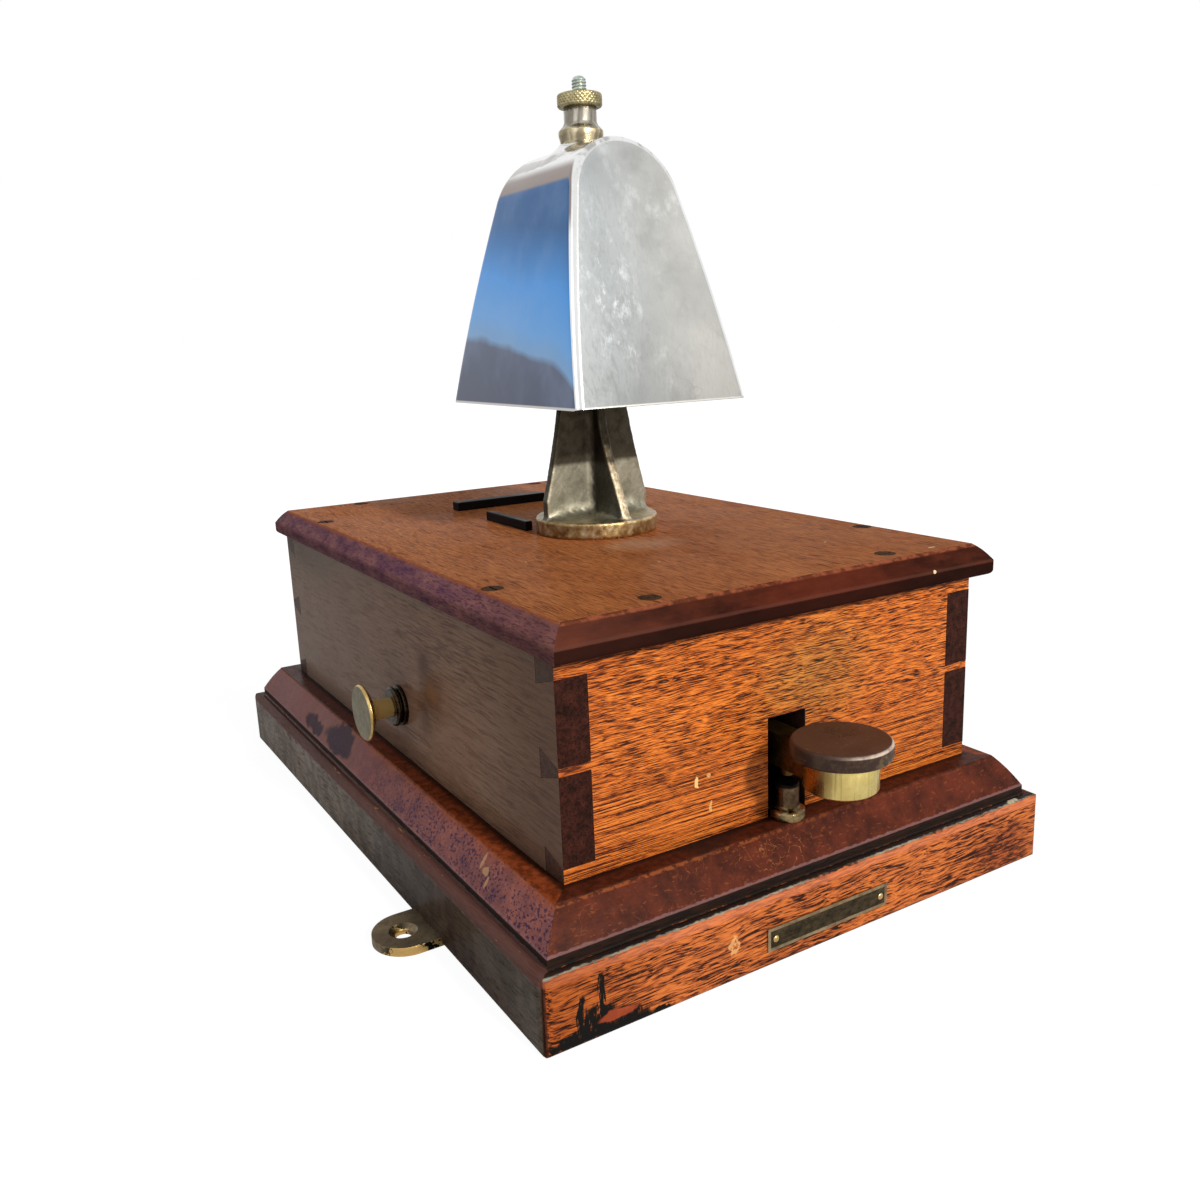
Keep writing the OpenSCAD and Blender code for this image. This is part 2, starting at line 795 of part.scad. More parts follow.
module gong_body() {
    r = gong_edge_r;
    outline = gong_arch(r);
    intersection() {
        hull() for (p = outline, side = [-1, 1])
            translate([p[0], side * (gong_d / 2 - face_lean * p[1] - r * sqrt(1 + face_lean * face_lean)),
                p[1]])
                sphere(r, $fn = 16);
        translate([-gong_w, -gong_d, 0]) cube([2 * gong_w, 2 * gong_d, gong_h + past]);
    }
}

// The gong's hollow, flat on top where it sits on the pillar
module gong_hollow() {
    inset = gong_wall * sqrt(1 + face_lean * face_lean);
    ceiling = seat_z - gong_z;
    half = gong_d / 2 - inset;
    intersection() {
        translate([0, gong_d, 0]) rotate([90, 0, 0]) linear_extrude(height = 2 * gong_d)
            polygon(concat([[gong_w / 2 - gong_wall, -past]], gong_arch(gong_wall),
                [[gong_wall - gong_w / 2, -past]]));
        translate([-gong_w, 0, 0]) rotate([90, 0, 90]) linear_extrude(height = 2 * gong_w)
            polygon([[half + face_lean * past, -past], [half - face_lean * ceiling, ceiling],
                [face_lean * ceiling - half, ceiling], [-half - face_lean * past, -past]]);
    }
}

module gong() {
    rise = gong_h + boss_rise;
    color("silver") translate([0, gong_y, gong_z]) difference() {
        union() {
            gong_body();
            rotate_extrude()
                polygon([[0, rise - 13], [19.5, rise - 9.8], [16.5, rise - 6.4], [13.8, rise - 4],
                    [11.6, rise - 2.4], [10.2, rise - 1.1], [boss_r, rise], [0, rise]]);
        }
        gong_hollow();
        translate([0, 0, gong_h / 2]) cylinder(h = gong_h, r = stud_r + drill);
    }
}

module clamp_sleeve() {
    color("lightgray") translate([0, gong_y, crown_z + boss_rise]) difference() {
        rotate_extrude()
            polygon([[0, 0], [boss_r - 0.4, 0], [sleeve_foot_r - 0.3, 2.2], [sleeve_foot_r, 3.4],
                [sleeve_foot_r, 5], [sleeve_foot_r - 0.7, 5.8], [sleeve_r + 0.6, 7.2], [sleeve_r, 8.6],
                [sleeve_r, sleeve_h], [0, sleeve_h]]);
        translate([0, 0, -past]) cylinder(h = sleeve_h + 2 * past, r = stud_r + drill);
    }
}

module knurled_nut() {
    chamfer = 1;
    color(brass) translate([0, gong_y, crown_z + boss_rise + sleeve_h]) difference() {
        rotate_extrude()
            polygon([[0, 0], [nut_r - chamfer, 0], [nut_r, chamfer], [nut_r, nut_h - chamfer],
                [nut_r - chamfer, nut_h], [0, nut_h]]);
        translate([0, 0, -past]) cylinder(h = nut_h + 2 * past, r = stud_r + drill);
    }
}

cheek_l = 4;
cheek_x = hub_l / 2 + 0.4;
frame_w = armature_w + cheek_l;
frame_front_y = hammer_y - 22;
upright_w = 3 * core_r;
post_w = 2 * frame_t;
frame_screw_r = 1.5;
frame_screw_reach = 7.5;

module frame_screw_places() {
    for (x = [-1, 1], y = [frame_front_y + 5, frame_back_y - 3])
        translate([hammer_x + x * (frame_w / 2 - 4.5), y, floor_t]) children();
}

// Cast frame that carries the magnet, the armature's pivot and the back-stop
module magnet_frame() {
    top_z = floor_t + frame_t;
    color(brass) difference() {
        union() {
            translate([hammer_x - frame_w / 2, frame_front_y, floor_t])
                cube([frame_w, frame_back_y + frame_t - frame_front_y, frame_t]);
            for (side = [-1, 1])
                translate([hammer_x + side * (cheek_x + cheek_l / 2) - cheek_l / 2, hammer_y - 6, top_z])
                    cube([cheek_l, 12, pivot_z - top_z]);
            for (side = [-1, 1])
                translate([hammer_x + side * (cheek_x + cheek_l / 2) - cheek_l / 2, hammer_y, pivot_z])
                    rotate([0, 90, 0]) cylinder(h = cheek_l, r = 6);
            translate([hammer_x - upright_w / 2, frame_back_y, top_z])
                cube([upright_w, frame_t, core_up + pivot_z - top_z + post_w]);
            translate([hammer_x - post_w / 2, frame_front_y + 1, top_z])
                cube([post_w, post_w, pivot_z + backstop_up - top_z + 6]);
            translate([hammer_x - post_w / 2, hammer_y + armature_t / 2 + spring_l + 0.4, top_z])
                cube([post_w, 3, pivot_z + spring_up - top_z + 3]);
        }
        translate([hammer_x - frame_w, hammer_y, pivot_z]) rotate([0, 90, 0])
            cylinder(h = 2 * frame_w, r = pin_r + drill / 2);
        translate([hammer_x, frame_front_y, pivot_z + backstop_up]) rotate([-90, 0, 0])
            cylinder(h = 10, r = 1.5 + drill);
        frame_screw_places() translate([0, 0, -past])
            cylinder(h = frame_t + 2 * past, r = frame_screw_r + drill);
        yoke_screw_holes();
    }
}

// Two screws through the frame's upright into the yoke
module yoke_screw_places() {
    for (z = [-1, 1]) translate([hammer_x, frame_back_y + frame_t, pivot_z + core_up + z * 5])
        rotate([-90, 0, 0]) children();
}

module yoke_screw_holes() {
    yoke_screw_places() translate([0, 0, -frame_t - yoke_t + 1])
        cylinder(h = frame_t + yoke_t, r = frame_screw_r + drill);
}

module frame_screws() {
    color(iron) {
        frame_screw_places() translate([0, 0, frame_t])
            round_screw(frame_t + frame_screw_reach, frame_screw_r, 2.9, 2);
        yoke_screw_places() round_screw(frame_t + yoke_t - 1.2, frame_screw_r, 2.9, 2);
        key_bracket_screw_places() translate([0, 0, frame_t])
            round_screw(frame_t + frame_screw_reach, frame_screw_r, 2.9, 2);
    }
}

module magnet_yoke() {
    w = armature_w;
    h = 3 * core_r;
    color(iron) difference() {
        translate([hammer_x - w / 2, yoke_y, pivot_z + core_up - h / 2]) cube([w, yoke_t, h]);
        core_screw_holes();
        yoke_screw_holes();
    }
}

core_screw_r = 2.2;
core_screw_in = 9;

module core_screw_places() {
    for (side = [-1, 1])
        translate([hammer_x + side * core_x, yoke_y + yoke_t, pivot_z + core_up])
            rotate([-90, 0, 0]) children();
}

module core_screw_holes() {
    core_screw_places() translate([0, 0, -yoke_t - core_screw_in - 0.5])
        cylinder(h = yoke_t + core_screw_in + 0.5 + past, r = core_screw_r + drill);
}

module core_screws() {
    color(iron) core_screw_places() round_screw(yoke_t + core_screw_in, core_screw_r, 4.2, 2.8);
}

// The two places along the magnet's axes, from the pole faces backwards
module core_places(y) {
    for (side = [-1, 1])
        translate([hammer_x + side * core_x, y, pivot_z + core_up]) rotate([-90, 0, 0]) children();
}

module magnet_cores() {
    color("gray") difference() {
        core_places(pole_y) cylinder(h = core_l, r = core_r);
        core_screw_holes();
    }
}

bobbin_wall = 1.4;
winding_r = cheek_r - 1.5;

module coil_bobbins() {
    color(ebonite) core_places(bobbin_y) difference() {
        union() {
            cylinder(h = cheek_t, r = cheek_r);
            translate([0, 0, bobbin_l - cheek_t]) cylinder(h = cheek_t, r = cheek_r);
            cylinder(h = bobbin_l, r = core_r + fit + bobbin_wall);
        }
        translate([0, 0, -past]) cylinder(h = bobbin_l + 2 * past, r = core_r + fit);
    }
}

module coil_windings() {
    color("darkolivegreen") core_places(bobbin_y + cheek_t) difference() {
        cylinder(h = bobbin_l - 2 * cheek_t, r = winding_r);
        translate([0, 0, -past])
            cylinder(h = bobbin_l + 2 * past, r = core_r + 2 * fit + bobbin_wall);
    }
}

module armature() {
    color("dimgray") translate([hammer_x, hammer_y, pivot_z]) difference() {
        union() {
            translate([-armature_w / 2, -armature_t / 2, armature_low])
                cube([armature_w, armature_t, armature_top - armature_low]);
            translate([-hub_l / 2, -armature_t / 2, 0]) cube([hub_l, armature_t, armature_low + past]);
            translate([-hub_l / 2, 0, 0]) rotate([0, 90, 0]) cylinder(h = hub_l, r = hub_r);
        }
        translate([-hub_l, 0, 0]) rotate([0, 90, 0]) cylinder(h = 2 * hub_l, r = pin_r + fit);
        translate([0, 0, armature_top - 14]) cylinder(h = 14 + past, r = 1.5 + drill);
    }
}

module armature_pin() {
    l = hub_l + 2 * cheek_l + 4;
    color("lightgray") translate([hammer_x - l / 2, hammer_y, pivot_z]) rotate([0, 90, 0])
        cylinder(h = l, r = pin_r);
}

module armature_spring() {
    color("peru") translate([hammer_x, hammer_y + armature_t / 2 + 0.2, pivot_z + spring_up])
        rotate([-90, 0, 0]) coil_spring(spring_l, 2.6, 0.4, 7);
}

module hammer_rod() {
    color("lightgray") translate([hammer_x, hammer_y, pivot_z + armature_top]) {
        translate([0, 0, -13]) cylinder(h = 13.5, r = 1.5);
        cylinder(h = ball_z - pivot_z - armature_top, r = rod_r);
    }
}

module hammer_ball() {
    color(brass) translate([hammer_x, hammer_y, ball_z]) difference() {
        sphere(ball_r);
        translate([0, 0, -ball_r - past]) cylinder(h = ball_r + past, r = rod_r + drill);
    }
}

module backstop_screw() {
    tip_y = hammer_y - armature_t / 2 - rest_gap;
    start_y = frame_front_y - 8;
    color(brass) translate([hammer_x, start_y, pivot_z + backstop_up]) rotate([-90, 0, 0]) {
        cylinder(h = tip_y - start_y, r = 1.5);
        cylinder(h = 4, r = 5);
        translate([0, 0, 6.4]) cylinder(h = 2.4, r = 3.6);
    }
}

module tapper_lever() {
    end_y = lever_pivot_y + lever_tail;
    color(brass) difference() {
        union() {
            translate([-lever_w / 2, tapper_y, lever_z]) cube([lever_w, end_y - tapper_y, lever_h]);
            translate([-stop_left, stop_y, lever_z - stop_stud_h])
                cylinder(h = stop_stud_h + 1, r = stop_stud_r);
        }
        difference() {
            translate([0, tapper_y, lever_z - past])
                cylinder(h = lever_h + 2 * past, r = ferrule_r + fit);
            translate([-tongue_w / 2, tapper_y - past, lever_axis_z - tongue_h / 2])
                cube([tongue_w, 2 * ferrule_r, tongue_h]);
        }
        translate([0, tapper_y, lever_z]) cylinder(h = lever_h, r = cap_screw_r + drill);
        translate([-lever_w, lever_pivot_y, lever_axis_z]) rotate([0, 90, 0])
            cylinder(h = 2 * lever_w, r = 2.5 + fit);
    }
}

module tapper_ferrule() {
    sink = 4;
    sink_l = ferrule_h - lever_h / 2 - tongue_h / 2;
    color(brass) translate([0, tapper_y, lever_top - ferrule_h]) difference() {
        rotate_extrude()
            polygon([[0, 0], [ferrule_r - 0.6, 0], [ferrule_r, 0.6], [ferrule_r, ferrule_h],
                [0, ferrule_h]]);
        translate([-tongue_w / 2 - fit, -4, ferrule_h - lever_h / 2 - tongue_h / 2 - fit])
            cube([tongue_w + 2 * fit, 2 * ferrule_r, tongue_h + 2 * fit]);
        translate([0, 0, -past]) cylinder(h = ferrule_h + 2 * past, r = cap_screw_r + drill);
        translate([0, 0, -past]) cylinder(h = sink_l + past, r = sink);
    }
}

module tapper_cap() {
    edge = 1.4;
    color(ebonite) translate([0, tapper_y, lever_top]) difference() {
        rotate_extrude()
            polygon(concat([[0, 0], [cap_r - 0.6, 0], [cap_r, 0.6]],
                arc([cap_r - edge, cap_t - edge], edge, 0, 90, 5), [[0, cap_t]]));
        translate([0, 0, -past]) cylinder(h = 3.5 + past, r = cap_screw_r + drill);
    }
}

module cap_screw() {
    low = lever_axis_z - tongue_h / 2;
    color(iron) translate([0, tapper_y, low]) rotate([180, 0, 0])
        round_screw(lever_top + 3 - low, cap_screw_r, 3.4, 2.2);
}

stop_spigot_l = 12;

module stop_pillar_hole() {
    translate([-stop_left, stop_y, plinth_h - stop_spigot_l - drill])
        cylinder(h = stop_spigot_l + past, r = 2 + drill);
}

module stop_pillar() {
    top = stop_top - plinth_h;
    flange = stop_r + 2.7;
    color(brass) translate([-stop_left, stop_y, plinth_h]) rotate_extrude()
        polygon([[0, -stop_spigot_l], [2, -stop_spigot_l], [2, 0], [flange, 0], [flange, 1.4],
            [flange - 0.3, 3], [flange - 1, 3.8], [stop_r + 0.7, 4.2], [stop_r, 4.9],
            [stop_r, top - 0.4], [stop_r - 0.4, top], [0, top]]);
}

bracket_gap = 0.4;
bracket_cheek = 4;
bracket_foot_y = 20;
bracket_foot_x = 10;
bracket_low_y = 14;
bracket_eye_r = 8;

module key_bracket_screw_places() {
    for (y = [-1, 1], x = [-1, 1])
        translate([x * (lever_w / 2 + bracket_cheek + bracket_foot_x / 2),
            lever_pivot_y + y * bracket_low_y, floor_t]) children();
}

module key_bracket() {
    foot_w = lever_w + 2 * (bracket_cheek + bracket_foot_x);
    color(brass) difference() {
        union() {
            translate([-foot_w / 2, lever_pivot_y - bracket_foot_y, floor_t])
                cube([foot_w, 2 * bracket_foot_y, frame_t]);
            for (side = [0, 1]) mirror([side, 0, 0])
                translate([lever_w / 2 + bracket_gap, lever_pivot_y, floor_t]) {
                    rotate([90, 0, 90]) linear_extrude(height = bracket_cheek)
                        polygon([[-bracket_low_y, 1], [bracket_low_y, 1],
                            [bracket_eye_r, lever_axis_z - floor_t],
                            [-bracket_eye_r, lever_axis_z - floor_t]]);
                    translate([0, 0, lever_axis_z - floor_t]) rotate([0, 90, 0])
                        cylinder(h = bracket_cheek, r = bracket_eye_r);
                }
        }
        translate([-foot_w, lever_pivot_y, lever_axis_z]) rotate([0, 90, 0])
            cylinder(h = 2 * foot_w, r = 2.5 + drill / 2);
        key_bracket_screw_places() translate([0, 0, -past])
            cylinder(h = frame_t + 2 * past, r = frame_screw_r + drill);
    }
}

module key_pin() {
    l = lever_w + 2 * bracket_gap + 2 * bracket_cheek + 4;
    color("lightgray") translate([-l / 2, lever_pivot_y, lever_axis_z]) rotate([0, 90, 0])
        cylinder(h = l, r = 2.5);
}

module key_spring() {
    color("peru") translate([0, key_spring_y, lever_z - key_spring_l - 0.1])
        coil_spring(key_spring_l - 0.1, 4, 0.6, 7);
}

module key_spring_post() {
    top = lever_z - key_spring_l - floor_t - 0.2;
    color(brass) translate([0, key_spring_y, floor_t]) rotate_extrude()
        polygon([[0, 0], [8, 0], [8, 3], [5, 4], [5, top], [2.4, top], [2.4, top + 9], [0, top + 9]]);
}

module rear_contact_post() {
    top = lever_z - rest_gap - floor_t;
    color(brass) translate([0, rear_contact_y, floor_t]) rotate_extrude()
        polygon([[0, 0], [post_w, 0], [post_w, 3], [post_w / 2, 4], [post_w / 2, top - 6],
            [post_w / 2 + 1.5, top - 5], [post_w / 2 + 1.5, top - 3], [2, top - 2], [2, top], [0, top]]);
}

// Placed along the plunger's axis: z runs inwards from the outer face of the left board
module on_plunger_axis() {
    translate([-side_x, plunger_axis_y, plunger_z]) rotate([0, 90, 0]) children();
}

module plunger() {
    neck = 6.8;
    color(brass) on_plunger_axis() rotate_extrude()
        polygon([[0, -knob_out], [knob_r - 0.8, -knob_out], [knob_r, 0.8 - knob_out],
            [knob_r, 1.6 - knob_out], [knob_r - 3, 3.4 - knob_out], [stem_r + 1.2, neck - 1.8 - knob_out],
            [stem_r, neck - knob_out], [stem_r, bush_end - 2], [thin_stem_r, bush_end - 1],
            [thin_stem_r, bracket_in + bracket_t + stem_past], [0, bracket_in + bracket_t + stem_past]]);
}

module plunger_bush() {
    color("darkslategray") on_plunger_axis() difference() {
        rotate_extrude()
            polygon([[0, -collar_l], [collar_r - 1.2, -collar_l], [collar_r - 0.2, 0.8 - collar_l],
                [collar_r - 0.2, 1.8 - collar_l], [collar_r - 2, 2.2 - collar_l],
                [collar_r - 2, 2.8 - collar_l], [collar_r, 3.2 - collar_l], [collar_r, 0],
                [bush_r, 0], [bush_r, bush_end], [0, bush_end]]);
        translate([0, 0, -collar_l - past])
            cylinder(h = collar_l + bush_end + 2 * past, r = stem_r + fit);
    }
}

module plunger_nut() {
    color(brass) on_plunger_axis() translate([0, 0, board_t]) difference() {
        cylinder(h = nut_t, r = 11, $fn = 6);
        translate([0, 0, -past]) cylinder(h = nut_t + 2 * past, r = bush_r + drill);
    }
}

ring_in = bush_end + rest_gap;

// Ring pinned on the thin part of the stem, which keeps the plunger from falling out
module plunger_collar() {
    color(brass) on_plunger_axis() translate([0, 0, ring_in]) difference() {
        cylinder(h = stop_ring_t, r = stop_ring_r);
        translate([0, 0, -past]) cylinder(h = stop_ring_t + 2 * past, r = thin_stem_r + 0.02);
    }
}

module plunger_spring() {
    start = ring_in + stop_ring_t + 0.1;
    color("peru") on_plunger_axis() translate([0, 0, start])
        coil_spring(bracket_in - start - 0.1, 4.4, 0.5, 7);
}

module plunger_bracket() {
    x = bracket_in - side_x;
    half = 12;
    color(brass) difference() {
        union() {
            translate([x, plunger_axis_y - half, floor_t])
                cube([bracket_t, 2 * half, plunger_z - floor_t]);
            translate([x, plunger_axis_y, plunger_z]) rotate([0, 90, 0])
                cylinder(h = bracket_t, r = half);
            translate([x - 16, plunger_axis_y - half, floor_t]) cube([16 + past, 2 * half, bracket_t]);
        }
        translate([x - past, plunger_axis_y, plunger_z]) rotate([0, 90, 0])
            cylinder(h = bracket_t + 2 * past, r = thin_stem_r + fit);
    }
}

blade_x = bracket_in + bracket_t + stem_past + plunger_travel + rest_gap - side_x;
block_l = 20;
block_w = 18;
block_h = 16;
blade_w = 10;
blade_step = 6;

module contact_block() {
    color(ebonite) difference() {
        translate([blade_x - blade_gap, plunger_axis_y - block_w / 2, floor_t])
            cube([block_l, block_w, block_h]);
        blade_shapes(drill);
    }
}

module blade_shapes(gap = 0) {
    for (i = [0, 1])
        translate([blade_x + i * blade_gap - gap, plunger_axis_y - blade_w / 2 - gap, floor_t + 4 - gap])
            cube([blade_t + 2 * gap, blade_w + 2 * gap, plunger_z - floor_t + (1 - i) * blade_step]);
}

module contact_blades() {
    color("peru") blade_shapes();
}

module terminal_places() {
    for (i = [0:terminal_count - 1])
        translate([(i - (terminal_count - 1) / 2) * terminal_pitch, terminal_y, floor_t]) children();
}

module terminal_block() {
    w = terminal_count * terminal_pitch;
    color(ebonite) difference() {
        translate([-w / 2, terminal_y - terminal_block_d / 2, floor_t])
            cube([w, terminal_block_d, terminal_block_h]);
        terminal_places() translate([0, 0, 2]) cylinder(h = terminal_block_h, r = 2 + drill);
    }
}

module terminal_posts() {
    color(brass) terminal_places() {
        translate([0, 0, 2.1]) cylinder(h = terminal_block_h - 2, r = 2);
        translate([0, 0, terminal_block_h]) rotate_extrude()
            polygon([[0, 0], [5, 0], [5, 2], [2, 2], [2, 5], [6, 5], [6, 9], [2, 9], [2, 12], [0, 12]]);
    }
}

module wire_bush() {
    color(ebonite) translate([wire_x, case_d / 2, plinth_h + wire_up]) rotate([90, 0, 0])
        difference() {
            rotate_extrude()
                polygon([[0, -2.4], [wire_hole_r + 1, -2.4], [wire_hole_r + 2.4, -1.4],
                    [wire_hole_r + 2.4, 0], [wire_hole_r, 0], [wire_hole_r, board_t], [0, board_t]]);
            translate([0, 0, -3 - past]) cylinder(h = board_t + 6 + past, r = wire_hole_r - 1.6);
        }
}

front_rail();
back_rail();
left_rail();
right_rail();
floor_board();
floor_screws();
case_front();
case_back();
case_left();
case_right();
lid();
lid_screws();
plinth_plate();
plate_pins();
left_lug();
right_lug();
lug_screws();
rear_guide_strip();
side_guide_strips();
bell_pillar();
pillar_screws();
bell_stud();
seat_washer();
gong();
clamp_sleeve();
knurled_nut();
magnet_frame();
frame_screws();
magnet_yoke();
magnet_cores();
coil_bobbins();
coil_windings();
core_screws();
armature();
armature_pin();
armature_spring();
hammer_rod();
hammer_ball();
backstop_screw();
tapper_lever();
tapper_ferrule();
tapper_cap();
cap_screw();
stop_pillar();
key_bracket();
key_pin();
key_spring();
key_spring_post();
rear_contact_post();
plunger();
plunger_bush();
plunger_nut();
plunger_collar();
plunger_spring();
plunger_bracket();
contact_block();
contact_blades();
terminal_block();
terminal_posts();
wire_bush();
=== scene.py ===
"""Railway block bell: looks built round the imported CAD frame. Metres, same frame as the CAD."""

import math

import bpy
import numpy as np
from mathutils import Matrix, Vector


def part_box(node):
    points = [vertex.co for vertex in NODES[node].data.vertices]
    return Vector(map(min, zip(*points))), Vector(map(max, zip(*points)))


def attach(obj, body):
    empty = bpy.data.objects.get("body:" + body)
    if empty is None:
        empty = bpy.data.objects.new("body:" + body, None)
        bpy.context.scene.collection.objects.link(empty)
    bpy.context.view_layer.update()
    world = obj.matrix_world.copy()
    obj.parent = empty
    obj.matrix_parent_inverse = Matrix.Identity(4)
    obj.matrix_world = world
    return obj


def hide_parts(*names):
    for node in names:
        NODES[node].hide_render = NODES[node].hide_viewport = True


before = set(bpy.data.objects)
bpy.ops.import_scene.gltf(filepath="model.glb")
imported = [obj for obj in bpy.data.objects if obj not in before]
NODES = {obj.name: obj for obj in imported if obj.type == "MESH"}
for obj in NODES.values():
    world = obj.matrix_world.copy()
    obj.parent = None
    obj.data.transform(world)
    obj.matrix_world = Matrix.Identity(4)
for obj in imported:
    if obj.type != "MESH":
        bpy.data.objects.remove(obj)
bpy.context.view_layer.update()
mm = 0.001
PHOTO = 1200  # pixels along each side

# Levels of the studio's light
KEY_POWER = 28
WORLD_LEVEL = 0.36
FLOOR_WHITE = 0.86
FLOOR_GREY = 0.86
FLOOR_GLOW = 1.10
WHITE = (1, 1, 1, 1)
SKY = (0.93, 0.96, 1.0, 1)
# Places in the studio in metres
LAMP_AIM = Vector((0, 0, 0.12))
FLOOR_HALF = 6
FLOOR_Z = -0.0001
FADE_FROM_TO = (0.22, 0.75)
# Heights in metres where a finish changes
FOOT_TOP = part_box("bell_pillar")[0][2] + 0.0076
STOP_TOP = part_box("stop_pillar")[1][2]
STOP_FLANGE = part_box("stop_pillar")[0][2] + 0.0162
KNOB_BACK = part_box("plunger")[0][0] + 0.0032
SLEEVE_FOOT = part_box("clamp_sleeve")[0][2]
GONG_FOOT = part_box("gong")[0][2]


# Camera
def camera():
    """The camera solved from the photo: its axes, its place and its lens in the photo's pixels."""
    data = bpy.data.cameras.new("photo_camera")
    cam = bpy.data.objects.new("photo_camera", data)
    bpy.context.scene.collection.objects.link(cam)
    right = Vector((0.85184436, -0.52236883, -0.03862640))
    down = Vector((-0.15314849, -0.17786537, -0.97206453))
    ahead = Vector((0.50090594, 0.83396326, -0.23151361))
    place = Vector((-252.515, -443.282, 223.232)) * mm
    rot = Matrix((right, -down, -ahead)).transposed().to_4x4()
    cam.matrix_world = Matrix.Translation(place) @ rot
    data.sensor_width = 36.0
    data.lens = 36.0 * 1077.653 / PHOTO
    data.shift_x = -(602.59 - PHOTO / 2) / PHOTO
    data.shift_y = (592.62 - PHOTO / 2) / PHOTO
    data.clip_start = 0.01
    bpy.context.scene.camera = cam


# Materials
def rgb(r, g, b):
    """An sRGB colour of 0 to 255 as the linear values that a shader takes."""
    def lin(v):
        v /= 255
        return v / 12.92 if v <= 0.04045 else ((v + 0.055) / 1.055) ** 2.4
    return (lin(r), lin(g), lin(b))


class Graph:
    """Writes the nodes of a world or a material."""

    def __init__(self, owner):
        owner.use_nodes = True
        self.tree = owner.node_tree
        self.tree.nodes.clear()

    def put(self, socket, value):
        """Fills a socket with a value or links it to another node's output."""
        if hasattr(value, "is_output"):
            self.tree.links.new(value, socket)
        else:
            if socket.type == "RGBA" and len(value) == 3:
                value = (*value, 1.0)
            socket.default_value = value

    def node(self, kind, *values, **settings):
        """Outputs of a new node. values fill its sockets in order, or by name where one is a dict."""
        n = self.tree.nodes.new(kind)
        for k, v in settings.items():
            setattr(n, k, v)
        named = values[0] if values and isinstance(values[0], dict) else dict(enumerate(values))
        for k, v in named.items():
            self.put(n.inputs[k], v)
        return n.outputs


